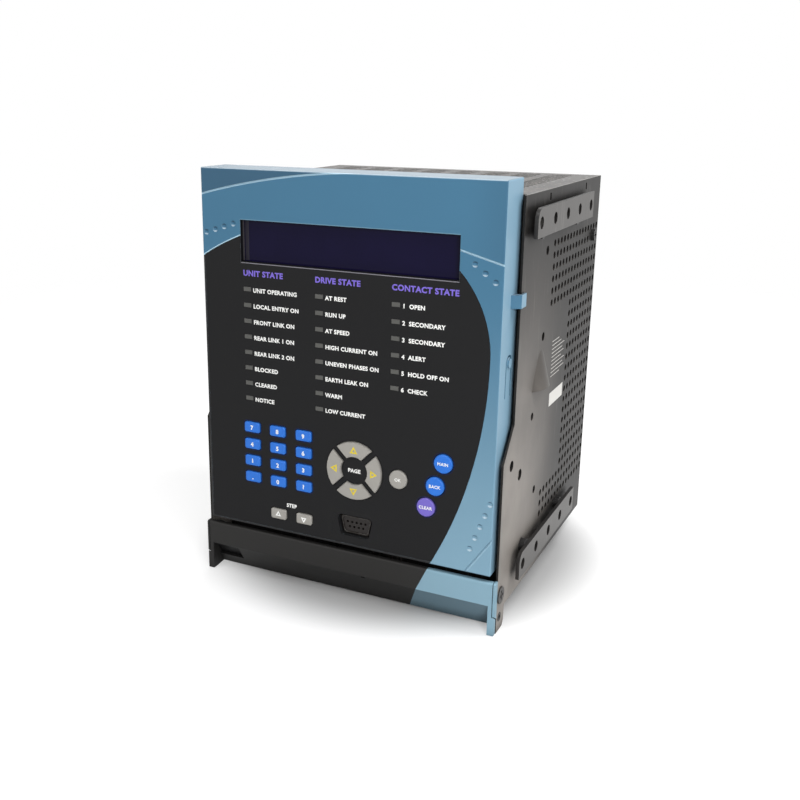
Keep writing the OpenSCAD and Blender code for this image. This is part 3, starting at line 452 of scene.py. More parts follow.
class FaceMasks:
    """Masks over the bezel's face, wired into one finish."""

    def __init__(self, wires: NodeTree) -> None:
        """Reads the point's place.

        Args:
            wires: The finish's wiring.
        """
        self.wires = wires
        self.x, self.y, self.z = wires.axes(wires.place())
        self.flat = wires.vector("MULTIPLY", wires.place(), (1.0, 0.0, 1.0))

    def _away(self, centre: tuple[float, float]) -> Socket:
        """Returns how far the point is from a centre, across and up."""
        return self.wires.vector("DISTANCE", self.flat, (centre[0], 0.0, centre[1]), value=True)

    def _near(self, offset: Source, half: float) -> Socket:
        """Returns one on a line and nought beside it."""
        return self.wires.rest(self.wires.ramp(self.wires.size(offset), half, FACE.line_soft * half))

    def _over_line(self) -> Socket:
        """Returns how far the point stands over the straight relief line right of the display."""
        level = self.wires.line(self.x, FACE.line_x, FACE.line_slope, FACE.window_low + FACE.line_rise)
        return self.wires.minus(self.z, level)

    def upper_corners(self) -> Socket:
        """Shades the face over the long arc and over the straight line.

        Returns:
            The mask.
        """
        wires = self.wires
        over_arc = wires.ramp(self._away(FACE.arc_centre), FACE.arc_r, FACE.arc_r + FACE.line_half)
        left = wires.times(over_arc, wires.below(self.x, FACE.arc_x))
        over_line = wires.ramp(self._over_line(), 0.0, FACE.line_half)
        right = wires.times(over_line, wires.ramp(self.x, FACE.line_x, FACE.line_x + FACE.corner_fade))
        left_share, right_share = FACE.corner_shades
        return wires.scaled(left, left_share, wires.times(right, right_share))

    def relief_lines(self) -> Socket:
        """Draws painted highlights along the relief lines: the arc, the straight lines, the shoulder's edge
        and the sill.

        Returns:
            The mask.
        """
        wires = self.wires
        from_arc = wires.minus(self._away(FACE.arc_centre), FACE.arc_r)
        arc = wires.times(self._near(from_arc, FACE.line_half), wires.below(self.x, FACE.arc_x))
        line = wires.times(self._near(self._over_line(), FACE.line_half), wires.above(self.x, FACE.line_x))
        from_edge = wires.minus(self._away(FACE.shoulder), FACE.shoulder_r + FACE.edge_half)
        edge = wires.times(self._near(from_edge, FACE.edge_half), wires.below(self.x, FACE.window_left))
        over = wires.minus(self.z, FACE.window_low + FACE.window_h + FACE.sill_half)
        inside = wires.times(wires.above(self.x, FACE.window_left), wires.below(self.x, FACE.line_x))
        sill = wires.times(self._near(over, FACE.sill_half), inside, FACE.sill_share)
        level = wires.line(self.x, FACE.foot_x, FACE.foot_slope, FACE.bottom)
        beside = wires.times(wires.minus(self.z, level), math.cos(math.atan(FACE.foot_slope)))
        beside = wires.math("ADD", beside, FACE.line_soft * FACE.line_half)
        low = wires.below(self.z, FACE.bottom + FACE.foot_rise)
        right = wires.above(self.x, FACE.foot_x)
        foot = wires.times(self._near(beside, FACE.line_half), low, right, FACE.foot_share)
        return wires.most(arc, line, edge, sill, foot)

    def black_field(self) -> Socket:
        """Fills the black field's outline.

        Returns:
            The mask.
        """
        wires = self.wires
        widest = FACE.bottom + FACE.field_rise
        low_centre, top_centre = (FACE.field_x - r for r in (FACE.field_r_low, FACE.field_r_top))
        shoulder = wires.below(self._away(FACE.shoulder), FACE.shoulder_r)
        low_arc = wires.below(self._away((low_centre, widest)), FACE.field_r_low)
        top_arc = wires.below(self._away((top_centre, widest)), FACE.field_r_top)
        under = wires.below(self.z, widest)
        upper = wires.most(top_arc, wires.below(self.x, top_centre))
        sides = wires.most(wires.times(under, low_arc), wires.times(wires.rest(under), upper))
        return wires.times(wires.below(self.z, FACE.window_low + FACE.field_top), shoulder, sides)


@dataclass(frozen=True)
class Finish:
    """One surface finish, with its colour as seen in plain light.

    The strengths run from 0 for none to 1. The edge's radius and the reach of the painted recess shade are
    in millimetres.
    """

    # What the mottle and the layers add to the roughness
    MOTTLE_ROUGH: ClassVar[float] = 0.06
    SCUFF_ROUGH: ClassVar[float] = -0.15
    DUST_ROUGH: ClassVar[float] = 0.3
    GRIME_ROUGH: ClassVar[float] = 0.25

    # Depth of the grain's bump, and the colours of dust and of the painted recess shade on every finish
    GRAIN_DEPTH: ClassVar[float] = 0.05 * MM
    DUST_COLOUR: ClassVar[str] = "#a89f94"
    GRIME_COLOUR: ClassVar[str] = "#0b0a09"

    name: str
    colour: str
    roughness: float = 0.5
    metallic: float = 0.0
    specular: float = 0.5
    grain: float = 0.1
    grain_scale: float = 2200.0
    mottle: float = 0.1
    wear: float = 0.0
    wear_colour: str = "#9a9a9a"
    edge: float = 0.4
    scuff: float = 0.0
    dust: float = 0.0
    # Painted shade in recesses: its strength, and its reach in millimetres
    grime: float = 0.0
    grime_reach: float = 6.0

    def colours(self, wires: NodeTree) -> Source:
        """Returns the colour before mottle, wear and dust."""
        return self.colour

    def build(self, effects: Effects) -> bpy.types.Material:
        """Makes the material.

        Args:
            effects: The shared node groups.

        Returns:
            The material, ready for a slot.
        """
        material = bpy.data.materials.new(self.name)
        material.use_nodes = True
        wires = NodeTree(material.node_tree)
        grain = wires.put("ShaderNodeGroup", {"Scale": self.grain_scale}, node_tree=effects.grain)
        mottle = grain.outputs["Mottle"]
        swing = wires.scaled(mottle, 2 * self.mottle, 1 - self.mottle)
        mottled = {"Color": self.colours(wires), "Value": swing}
        colour = wires.put("ShaderNodeHueSaturation", mottled).outputs[0]
        rough = wires.scaled(mottle, 2 * self.MOTTLE_ROUGH, self.roughness - self.MOTTLE_ROUGH)

        for group, strength, tint, rougher, values in (
                (effects.scuffs, self.scuff, self.wear_colour, self.SCUFF_ROUGH, {}),
                (effects.wear, self.wear, self.wear_colour, 0.0, {}),
                (effects.dust, self.dust, self.DUST_COLOUR, self.DUST_ROUGH, {}),
                # painted shade in recesses, darker and rougher
                (effects.grime, self.grime, self.GRIME_COLOUR, self.GRIME_ROUGH,
                 {"Reach": self.grime_reach * MM})):
            if strength:
                mask = wires.put("ShaderNodeGroup", values, node_tree=group).outputs["Mask"]
                share = wires.times(mask, strength)
                colour = wires.mix(share, colour, tint)
                rough = wires.scaled(share, rougher, rough)

        rounded = wires.put("ShaderNodeBevel", {"Radius": self.edge * MM}, samples=effects.EDGE_SAMPLES)
        bump = wires.put("ShaderNodeBump", {
            "Strength": self.grain, "Distance": self.GRAIN_DEPTH,
            "Height": grain.outputs["Height"], "Normal": rounded.outputs[0]})
        wires.fill(material.node_tree.nodes["Principled BSDF"], {
            "Metallic": self.metallic, "Specular IOR Level": self.specular, "Base Color": colour,
            "Roughness": rough, "Normal": bump.outputs[0]})
        return material


@dataclass(frozen=True)
class BezelFinish(Finish):
    """Blue moulding, with light and shade painted into its colour: its face is painted lighter downwards,
    painted highlights run along the relief lines and up the relief's slopes, painted shade lies on the
    slopes that face down and on the top, and the field's rim is black.

    The tilts are limits of the direction that the surface faces, forward or upward.
    """

    low_colour: str = "#82a6ba"
    high_colour: str = "#447390"
    shade_colour: str = "#304c62"
    line_colour: str = "#b4d6e8"
    top_colour: str = "#647988"
    rubbed_colour: str = "#d9e8ef"
    sunk_colour: str = "#2f4b60"
    rim_colour: str = "#1f1f20"
    rubbed_share: float = 0.5
    sunk_share: float = 0.7
    face_tilt: float = -0.6
    slope_tilt: float = -0.25
    top_tilt: tuple[float, float] = (0.5, 0.9)
    rubbed_tilt: tuple[float, float] = (0.2, 0.65)
    sunk_tilt: tuple[float, float] = (-0.15, -0.6)
    fade: tuple[float, float] = (-20.0 * MM, -40.0 * MM)

    def colours(self, wires: NodeTree) -> Source:
        """Colours the face, the flanks and the relief blue with painted light and shade, and the field's rim
        black.

        Args:
            wires: The finish's wiring.

        Returns:
            The colour before mottle and wear.
        """
        masks = FaceMasks(wires)
        facing = wires.facing()
        # Painted light: the face's blue is painted lighter towards the bottom
        rise = wires.ramp(masks.z, FACE.bottom + self.fade[0], FACE.top + self.fade[1])
        blue = wires.mix(rise, self.low_colour, self.high_colour)
        blue = wires.mix(masks.upper_corners(), blue, self.shade_colour)
        # Painted highlights along the relief lines, the shoulder's edge, the sill and the foot line
        blue = wires.mix(masks.relief_lines(), blue, self.line_colour)
        # Painted shade by facing: faces that look up are painted darker than the flanks, and only faces that
        # look forward take the painted gradient
        side = wires.mix(wires.ramp(facing["Z"], *self.top_tilt), self.colour, self.top_colour)
        blue = wires.mix(wires.below(facing["Y"], self.face_tilt), side, blue)
        # Painted highlight on the shallow relief's slopes and dimples that face up, and painted shade on
        # those that face down
        shallow = wires.below(masks.y, FACE.front + FACE.relief_depth)
        sloped = wires.times(shallow, wires.below(facing["Y"], self.slope_tilt))
        for tilt, share, colour in ((self.rubbed_tilt, self.rubbed_share, self.rubbed_colour),
                                    (self.sunk_tilt, self.sunk_share, self.sunk_colour)):
            blue = wires.mix(wires.times(sloped, wires.ramp(facing["Z"], *tilt), share), blue, colour)
        inner = wires.below(wires.size(masks.x), FACE.inner_half)
        depth = wires.scaled(inner, FACE.wall_depth - FACE.rim_depth, FACE.front + FACE.rim_depth)
        rim = wires.times(masks.black_field(), wires.below(masks.y, depth))
        return wires.mix(rim, blue, self.rim_colour)


@dataclass(frozen=True)
class HandleFinish(Finish):
    """Blue at the right end and black over the rest, split along the field's slanting edge."""

    blue_colour: str = "#86a8b9"
    under_colour: str = "#050505"
    under_share: float = 0.55
    under_tilt: tuple[float, float] = (-0.1, -0.5)
    split_x: float = 53.6 * MM
    split_slope: float = 0.47

    def colours(self, wires: NodeTree) -> Source:
        """Colours black left of the slanting edge and blue right of it, with painted shade under the bar.

        Args:
            wires: The finish's wiring.

        Returns:
            The colour before mottle, wear and painted recess shade.
        """
        place = wires.axes(wires.place())
        edge = wires.line(place["Z"], FACE.bottom, self.split_slope, self.split_x)
        colour = wires.mix(wires.above(place["X"], edge), self.colour, self.blue_colour)
        # Painted shade: faces that look down, under the bar, are painted darker
        under = wires.times(wires.ramp(wires.facing()["Z"], *self.under_tilt), self.under_share)
        return wires.mix(under, colour, self.under_colour)


@dataclass(frozen=True)
class PlateFinish(Finish):
    """Satin black paint on sheet metal, with a painted sheen that makes its front foot paler, and stained
    along the vents.
    """

    pale_colour: str = "#938d87"
    pale_height: tuple[float, float] = (20.0 * MM, 190.0 * MM)
    pale_depth: tuple[float, float] = (25.0 * MM, 115.0 * MM)
    pale_scale: float = 22.0
    pale_patches: tuple[float, float] = (0.3, 0.7)
    pale_held: tuple[float, float] = (0.3, 0.7)
    stain_colour: str = "#0e0c0b"
    stain_depth: float = 124.0 * MM
    stain_spread: tuple[float, float] = (2.0 * MM, 16.0 * MM)
    stain_scale: float = 35.0
    stain_patches: tuple[float, float] = (0.4, 0.6)
    stain_share: float = 0.75

    def colours(self, wires: NodeTree) -> Source:
        """Colours the black paint with its painted sheen at the foot and its stain.

        Args:
            wires: The finish's wiring.

        Returns:
            The colour before mottle, wear, dust and painted recess shade.
        """
        place = wires.axes(wires.place())
        # Painted sheen: the broad faces are painted paler low down and near the front, in noisy patches
        high = wires.ramp(place["Z"], *(FACE.bottom + limit for limit in self.pale_height))
        deep = wires.ramp(place["Y"], *(FACE.front + limit for limit in self.pale_depth))
        foot = wires.times(wires.rest(high), wires.rest(deep), wires.sideways())
        cloud = wires.ramp(wires.noise(self.pale_scale, detail=5.0), *self.pale_patches)
        share = wires.times(foot, wires.scaled(cloud, *self.pale_held))
        paint = wires.mix(share, self.colour, self.pale_colour)
        aside = wires.minus(place["Y"], FACE.front + self.stain_depth)
        near = wires.rest(wires.ramp(wires.size(aside), *self.stain_spread))
        patch = wires.ramp(wires.noise(self.stain_scale, detail=4.0), *self.stain_patches)
        return wires.mix(wires.times(near, patch, self.stain_share), paint, self.stain_colour)


@dataclass(frozen=True)
class RailFinish(Finish):
    """Black paint, painted lighter on the broad faces and left black on the edges, as painted light and
    shade.
    """

    rubbed_colour: str = "#4e4c4a"

    def colours(self, wires: NodeTree) -> Source:
        """Returns black edges and broad faces painted lighter."""
        # Painted light and shade: the broad faces are painted lighter than the black edges
        return wires.mix(wires.sideways(), self.colour, self.rubbed_colour)


class Palette:
    """Every finish of the part, built once and handed out by name."""

    FINISHES: tuple[Finish, ...] = (
        BezelFinish("bezel_moulding", "#83a7bd", roughness=0.45, specular=0.25, grain=0.12, mottle=0.03,
                    wear=0.2, wear_colour="#a9c6d8"),
        HandleFinish("handle_moulding", "#1f1e1d", specular=0.25, grain=0.12, mottle=0.04, wear=0.2,
                     wear_colour="#6d7880", grime=0.5, grime_reach=10.0),
        Finish("overlay_film", "#1f1f20", roughness=0.55, specular=0.1, grain=0.18, grain_scale=3200.0,
               mottle=0.06, edge=0.2),
        Finish("display_pane", "#100c2c", roughness=0.14, specular=0.1, grain=0.0, mottle=0.3),
        Finish("liner_black", "#0f0f12", specular=0.15, grain=0.05, edge=0.15),
        Finish("liner_edge", "#7d7b82", roughness=0.4, grain=0.05),
        Finish("strip_light", "#4a484c", specular=0.2, grain=0.05),
        Finish("strip_dark", "#2c2a33", specular=0.2, grain=0.05),
        Finish("light_lens", "#52524f", roughness=0.35, specular=0.4, grain=0.05, mottle=0.12, edge=0.3),
        Finish("key_blue", "#2a74d8", roughness=0.42, specular=0.35, grain=0.08, mottle=0.03, wear=0.3,
               wear_colour="#6aa5ee", edge=0.5),
        Finish("key_grey", "#a19e98", roughness=0.46, specular=0.4, grain=0.08, mottle=0.04, wear=0.35,
               wear_colour="#d0cdc8", edge=0.5),
        Finish("key_violet", "#7668c6", roughness=0.42, specular=0.35, grain=0.08, mottle=0.03, wear=0.3,
               wear_colour="#a79cea", edge=0.5),
        # Painted shade: dark rings round the keys and the port, and the handle pocket's back
        Finish("shade_navy", "#081336", roughness=0.4, specular=0.2, grain=0.05),
        Finish("shade_black", "#0d0d0e", specular=0.2, grain=0.05),
        Finish("ink_white", "#fbfbf8", roughness=0.6, grain=0.02, mottle=0.02),
        Finish("ink_grey", "#dedbd6", roughness=0.6, grain=0.02),
        Finish("ink_violet", "#7966cf", roughness=0.55, grain=0.02, mottle=0.02),
        Finish("ink_yellow", "#e2cc2c", roughness=0.55, grain=0.02, mottle=0.02),
        PlateFinish("chassis_coat", "#1d1b1a", roughness=0.44, specular=0.19, grain=0.2, grain_scale=1500.0,
                    mottle=0.25, wear=0.45, wear_colour="#7d7872", scuff=0.2, dust=0.2, grime=0.85,
                    grime_reach=9.0, edge=0.3),
        # Its pale scuffs are partly scuff marks and partly painted reflection
        Finish("cover_coat", "#24211f", specular=0.14, grain=0.2, grain_scale=1500.0, mottle=0.3, wear=0.4,
               wear_colour="#c4bdb5", scuff=0.45, dust=0.1, edge=0.3),
        RailFinish("rail_coat", "#191716", roughness=0.4, specular=0.4, grain=0.15, grain_scale=1500.0,
                   mottle=0.15, wear=0.2, wear_colour="#97928c", scuff=0.12, edge=0.3),
        Finish("screw_black", "#1c1b1b", roughness=0.4, metallic=0.3, grain=0.08, wear=0.4, edge=0.2),
        Finish("screw_grey", "#3b3938", roughness=0.4, metallic=0.5, mottle=0.15, wear=0.4, edge=0.2),
        Finish("plated_steel", "#a4a4a2", roughness=0.32, metallic=0.9, edge=0.2),
        Finish("port_tin", "#2f2b28", roughness=0.35, metallic=0.7, grain=0.08, wear=0.4, edge=0.2),
        Finish("port_moulding", "#1d1917", specular=0.3, grain=0.08, edge=0.15),
        Finish("board_mask", "#1f5c39", roughness=0.35, grain=0.15, grain_scale=900.0, mottle=0.2),
        Finish("relay_case", "#2a2a2c", roughness=0.4, grain=0.08, edge=0.5),
        Finish("core_iron", "#6a4a30", roughness=0.55, grain=0.3, grain_scale=700.0, mottle=0.2),
        Finish("plug_moulding", "#232325", grain=0.12, mottle=0.08),
        Finish("blade_brass", "#c4a04c", roughness=0.3, metallic=0.9, grain=0.08, mottle=0.15, edge=0.2),
        Finish("sticker_paper", "#e9e7e2", roughness=0.6, grain=0.08, mottle=0.04),
        Finish("spring_wire", "#8f9092", roughness=0.3, metallic=0.95, grain=0.05),
    )

    def __init__(self) -> None:
        """Builds every material."""
        effects = Effects()
        self.made = {finish.name: finish.build(effects) for finish in self.FINISHES}

    def dress(self, piece: bpy.types.Object, finish: str) -> None:
        """Gives a piece one of the finishes."""
        piece.data.materials.clear()
        piece.data.materials.append(self.made[finish])

    def dress_node(self, node: str, finish: str) -> None:
        """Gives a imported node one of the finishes."""
        self.dress(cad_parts[node], finish)
        LOG.info("dressed %s in %s", node, finish)


PALETTE = Palette()


def skin(mesh: bmesh.types.BMesh, rings: Sequence[Sequence[bmesh.types.BMVert]], capped: bool) -> None:
    """Joins each ring of corners to the next with four-sided faces.

    Args:
        mesh: The mesh that the corners are in.
        rings: Rings of as many corners each, in order.
        capped: Whether the first and the last ring are closed.
    """
    for ring, after in zip(rings, rings[1:]):
        for k in range(len(ring)):
            mesh.faces.new((ring[k - 1], ring[k], after[k], after[k - 1]))
    if capped:
        mesh.faces.new(rings[0][::-1])
        mesh.faces.new(rings[-1])


def add_piece(name: str, mesh: bmesh.types.BMesh, finish: str, body: str) -> bpy.types.Object:
    """Makes a mesh into a dressed piece that rides on a body.

    Args:
        name: The piece's name.
        mesh: Its mesh, in the part's frame.
        finish: The finish's name.
        body: The CAD body that it rides on.

    Returns:
        The new piece.
    """
    bmesh.ops.recalc_face_normals(mesh, faces=mesh.faces)
    data = bpy.data.meshes.new(name)
    mesh.to_mesh(data)
    mesh.free()
    made = bpy.data.objects.new(name, data)
    bpy.context.scene.collection.objects.link(made)
    PALETTE.dress(made, finish)
    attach(made, body)
    LOG.info("made %s: %d faces on %s", name, len(data.polygons), body)
    return made


def rounded_loop(width: float, height: float, corner: float) -> list[Vector]:
    """Draws a rectangle with round corners about the drawing's centre.

    Args:
        width: Its width.
        height: Its height.
        corner: Radius of its corners.

    Returns:
        Its flat points.
    """
    points = []
    for quarter, (side_x, side_y) in enumerate(((1, 1), (-1, 1), (-1, -1), (1, -1))):
        for k in range(CORNER_STEPS + 1):
            turn = math.radians(90 * (quarter + k / CORNER_STEPS))
            points.append(Vector((
                side_x * (width / 2 - corner) + corner * math.cos(turn),
                side_y * (height / 2 - corner) + corner * math.sin(turn), 0)))
    return points


def circle_loop(radius: float, steps: int = CIRCLE_STEPS, start: float = 0.0) -> list[Vector]:
    """Returns the flat points of a circle, from a start in degrees."""
    turns = (math.radians(start + 360 * k / steps) for k in range(steps))
    return [Vector((radius * math.cos(turn), radius * math.sin(turn), 0)) for turn in turns]


def middle_of(node: str, y: float) -> Vector:
    """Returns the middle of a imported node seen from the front, at a depth."""
    low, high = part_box(node)
    return Vector(((low.x + high.x) / 2, y, (low.z + high.z) / 2))


class Drawing:
    """Flat print gathered on one facing, made into one thin mesh."""

    # Height of a capital in the built-in face at size one, space between letters, and steps of their curves
    CAPITAL = 0.729
    SPACING = 1.08
    CURVE_STEPS = 3

    # Points of a letter at size one that are nearer than this are one point
    WELD = 1e-5

    # The longest mitre, as a multiple of the thickening, and the least square that is divided by
    LONGEST_MITRE = 1.8
    LEAST_SQUARE = 1e-6

    def __init__(self) -> None:
        """Starts an empty drawing."""
        self.mesh = bmesh.new()

    def prism(self, loops: Sequence[Sequence[Vector]], matrix: Matrix) -> None:
        """Adds a closed thin prism between an outer loop and, if given, an inner one.

        Args:
            loops: One loop of flat points, or an outer and an inner loop of as many points.
            matrix: Stands the drawing on its surface.
        """
        low, high = ([[self.mesh.verts.new(matrix @ (point + Vector((0, 0, lift)))) for point in loop]
                      for loop in loops] for lift in (LIFT, LIFT + INK))
        if len(loops) == 1:
            skin(self.mesh, (low[0], high[0]), capped=True)
        else:
            skin(self.mesh, (low[0], high[0], high[1], low[1], low[0]), capped=False)

    def triangle(self, side: float, stroke: float, turn: float, matrix: Matrix) -> None:
        """Adds an even triangle drawn as a line, which points up before its turn in degrees."""
        lengths = (side, side - 2 * stroke * math.sqrt(3))
        self.prism([circle_loop(length / math.sqrt(3), 3, 90 + turn) for length in lengths], matrix)

    def _embolden(self, part: bmesh.types.BMesh, amount: float) -> None:
        """Thickens flat letters by moving their edges outwards.

        Args:
            part: The flat letters, at letter size one.
            amount: How far each edge moves.
        """
        sides: dict[bmesh.types.BMVert, list[Vector]] = {}
        for edge in part.edges:
            if len(edge.link_faces) == 1:
                start, end = edge.verts
                out = (end.co - start.co).cross(Vector((0, 0, 1))).normalized()
                if out.dot(edge.link_faces[0].calc_center_median() - start.co) > 0:
                    out.negate()
                for vert in edge.verts:
                    sides.setdefault(vert, []).append(out)
        for vert, outs in sides.items():
            total = sum(outs, Vector())
            mitre = 2 * total / max(total.length_squared, self.LEAST_SQUARE)
            vert.co += amount * min(mitre.length, self.LONGEST_MITRE) * mitre.normalized()

    def words(self, text: str, cap: float, place: Vector, align: Align, bold: float,
              widen: float = 1.0) -> None:
        """Adds one line of lettering that faces the front.

        Args:
            text: The words.
            cap: Height of a capital, in metres.
            place: Where the line stands, at mid height.
            align: Where the line starts from its place.
            bold: How far the strokes are thickened, as a share of the letter size.
            widen: Stretch along the line.
        """
        curve = bpy.data.curves.new("line", "FONT")
        curve.body = text
        curve.align_x = align.value
        curve.space_character = self.SPACING
        curve.resolution_u = self.CURVE_STEPS
        holder = bpy.data.objects.new("line", curve)
        bpy.context.scene.collection.objects.link(holder)
        graph = bpy.context.evaluated_depsgraph_get()
        flat = bpy.data.meshes.new_from_object(holder.evaluated_get(graph))
        bpy.data.objects.remove(holder)
        bpy.data.curves.remove(curve)
        part = bmesh.new()
        part.from_mesh(flat)
        bmesh.ops.remove_doubles(part, verts=part.verts, dist=self.WELD)
        self._embolden(part, bold)
        matrix = Facing.FRONT.matrix(place)
        scale = cap / self.CAPITAL
        grow = Matrix.Translation((0, -cap / 2, LIFT)) @ Matrix.Diagonal((scale * widen, scale, 1, 1))
        bmesh.ops.transform(part, matrix=matrix @ grow, verts=part.verts)
        raised = bmesh.ops.extrude_face_region(part, geom=part.faces[:])
        lifted = [item for item in raised["geom"] if isinstance(item, bmesh.types.BMVert)]
        bmesh.ops.translate(part, vec=matrix.to_3x3() @ Vector((0, 0, INK)), verts=lifted)
        bmesh.ops.recalc_face_normals(part, faces=part.faces)
        part.to_mesh(flat)
        part.free()
        self.mesh.from_mesh(flat)
        bpy.data.meshes.remove(flat)

    def piece(self, name: str, finish: str, body: str = Body.CHASSIS.value,
              slot: Slot = Slot.OVERLAY) -> None:
        """Makes the drawing into a piece."""
        add_piece(name, self.mesh, finish, body)


def draw_patch(name: str, finish: str, loops: Sequence[Sequence[Vector]], matrix: Matrix,
               slot: Slot = Slot.OVERLAY) -> None:
    """Makes one flat patch or ring into a piece of the chassis.

    Args:
        name: The piece's name.
        finish: The finish's name.
        loops: Its outer loop of flat points and, for a ring, its inner one.
        matrix: Stands it on its surface.
        slot: The record's material slot nearest to it; not used.
    """
    drawing = Drawing()
    drawing.prism(loops, matrix)
    drawing.piece(name, finish, slot=slot)


class Assembly:
    """A sub-assembly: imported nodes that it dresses, and pieces of its own."""

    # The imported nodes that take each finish
    COATS: ClassVar[dict[str, tuple[str, ...]]] = {}

    def dress(self) -> None:
        """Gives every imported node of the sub-assembly its finish."""
        for finish, nodes in self.COATS.items():
            for node in nodes:
                PALETTE.dress_node(node, finish)

    def build(self) -> None:
        """Makes the pieces, each sub-assembly in its own way."""
        raise NotImplementedError


@dataclass
class Bezel(Assembly):
    """The blue moulding, the black field and the display, with the display opening's trim."""

    COATS = {
        "bezel_moulding": ("front_bezel",), "overlay_film": ("faceplate_overlay",),
        "display_pane": ("display_window",), "relay_case": ("display_module",),
        "board_mask": ("display_board", "front_board"),
    }

    liner_inset: tuple[float, float] = (0.02 * MM, 0.25 * MM)
    liner_depth: tuple[float, float] = (0.15 * MM, 3.9 * MM)
    edge_line: float = 0.45 * MM
    edge_corner: float = 0.1 * MM
    window_w: float = 128.0 * MM
    window_x: float = 0.9 * MM
    wall_strip: tuple[float, float] = (2.2 * MM, 3.85 * MM)
    pane_strip: tuple[float, float] = (1.9 * MM, 2.4 * MM)
    strip_short: float = 1.2 * MM
    strip_corner: float = 0.2 * MM

    def build(self) -> None:
        """Lines the display opening and draws the display's frame behind the pane."""
        middle = Vector((self.window_x, FACE.front, FACE.window_low + FACE.window_h / 2))
        self._line_opening(middle)
        self._draw_frame(middle)

    def _line_opening(self, middle: Vector) -> None:
        """Makes the thin black liner of the opening's walls.

        Args:
            middle: The opening's centre on the face.
        """
        mesh = bmesh.new()
        rings = []
        for depth in self.liner_depth:
            for inset in self.liner_inset:
                x, z = self.window_w / 2 - inset, FACE.window_h / 2 - inset
                rings.append([mesh.verts.new(middle + Vector((side * x, depth, end * z)))
                              for side, end in ((-1, -1), (1, -1), (1, 1), (-1, 1))])
        outer_front, inner_front, outer_back, inner_back = rings
        skin(mesh, (outer_front, inner_front, inner_back, outer_back, outer_front), capped=False)
        add_piece("window_liner", mesh, "liner_black", Body.CHASSIS.value)

    def _draw_frame(self, middle: Vector) -> None:
        """Draws the bright lower edge and the strips at the display's left end.

        Args:
            middle: The opening's centre on the face.
        """
        low = middle - Vector((0, 0, FACE.window_h / 2 + self.edge_line / 2))
        line = rounded_loop(self.window_w, self.edge_line, self.edge_corner)
        draw_patch("window_lower_edge", "liner_edge", (line,), Facing.FRONT.matrix(low))
        left = middle.x - self.window_w / 2
        wall_near, wall_far = self.wall_strip
        on_wall = Vector((left + self.liner_inset[1], middle.y + (wall_near + wall_far) / 2, middle.z))
        on_pane = Vector((left + self.pane_strip[0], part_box("display_window")[0].y, middle.z))
        for shade, width, matrix in (("light", wall_far - wall_near, Facing.RIGHT.matrix(on_wall)),
                                     ("dark", self.pane_strip[1], Facing.FRONT.matrix(on_pane))):
            strip = rounded_loop(width, FACE.window_h - self.strip_short, self.strip_corner)
            draw_patch(f"display_end_{shade}", f"strip_{shade}", (strip,), matrix, Slot.PANE)


@dataclass
class StatusLights(Assembly):
    """Three columns of lights with a heading over each and a word beside each light."""

    COATS = {"light_lens": ("status_strip_left", "status_strip_middle", "status_strip_right")}
    COLUMNS: ClassVar[tuple[tuple[str, str, tuple[str, ...]], ...]] = (
        ("status_strip_left", "UNIT STATE", (
            "UNIT OPERATING", "LOCAL ENTRY ON", "FRONT LINK ON", "REAR LINK 1 ON", "REAR LINK 2 ON",
            "BLOCKED", "CLEARED", "NOTICE")),
        ("status_strip_middle", "DRIVE STATE", (
            "AT REST", "RUN UP", "AT SPEED", "HIGH CURRENT ON", "UNEVEN PHASES ON", "EARTH LEAK ON",
            "WARM", "LOW CURRENT")),
        ("status_strip_right", "CONTACT STATE", (
            "1  OPEN", "2  SECONDARY", "3  SECONDARY", "4  ALERT", "5  HOLD OFF ON", "6  CHECK")),
    )

    heading_cap: float = 3.1 * MM
    heading_rise: float = 9.1 * MM
    label_cap: float = 2.3 * MM
    label_gap: float = 3.8 * MM
    label_drop: float = 0.3 * MM
    strip_margin: float = 2.7 * MM
    lens_half: float = 2.35 * MM
    widen: float = 1.02
    bold: float = 0.042

    def build(self) -> None:
        """Prints the headings and the words."""
        for strip, heading, labels in self.COLUMNS:
            low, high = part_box(strip)
            x = (low.x + high.x) / 2
            first = high.z - self.strip_margin
            pitch = (first - low.z - self.strip_margin) / (len(labels) - 1)
            title, words = Drawing(), Drawing()
            place = Vector((x - self.lens_half, FACE.front, first + self.heading_rise))
            title.words(heading, self.heading_cap, place, Align.LEFT, self.bold, self.widen)
            title.piece(f"{strip}_heading", "ink_violet")
            for row, label in enumerate(labels):
                place = Vector((x + self.label_gap, FACE.front, first - row * pitch - self.label_drop))
                words.words(label, self.label_cap, place, Align.LEFT, self.bold, self.widen)
            words.piece(f"{strip}_words", "ink_white")


class Shape(Enum):
    """Outlines of the keys."""

    OBLONG = "oblong"
    ROUND = "round"
    RING = "ring"


@dataclass
class Key:
    """One key with its legend, in the finish that is named like its slot."""

    node: str
    finish: str
    shape: Shape
    legend: str = ""
    arrow: float | None = None
    cap: float = 2.5 * MM
    bold: float = 0.045
    ring_arrow: tuple[float, float] = (4.7 * MM, 0.8 * MM)
    value_arrow: tuple[float, float] = (3.7 * MM, 0.7 * MM)

    def dress(self) -> None:
        """Dresses the key."""
        PALETTE.dress_node(self.node, self.finish)

    def build(self) -> None:
        """Prints the legend on the key."""
        ringed = self.shape is Shape.RING
        middle = middle_of(self.node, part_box(self.node)[0].y)
        legend = Drawing()
        if self.arrow is None:
            legend.words(self.legend, self.cap, middle, Align.CENTRE, self.bold)
        else:
            sizes = self.ring_arrow if ringed else self.value_arrow
            legend.triangle(*sizes, self.arrow, Facing.FRONT.matrix(middle))
        ink = "ink_yellow" if ringed else "ink_white"
        legend.piece(f"{self.node}_legend", ink, self.node, Slot(self.finish))


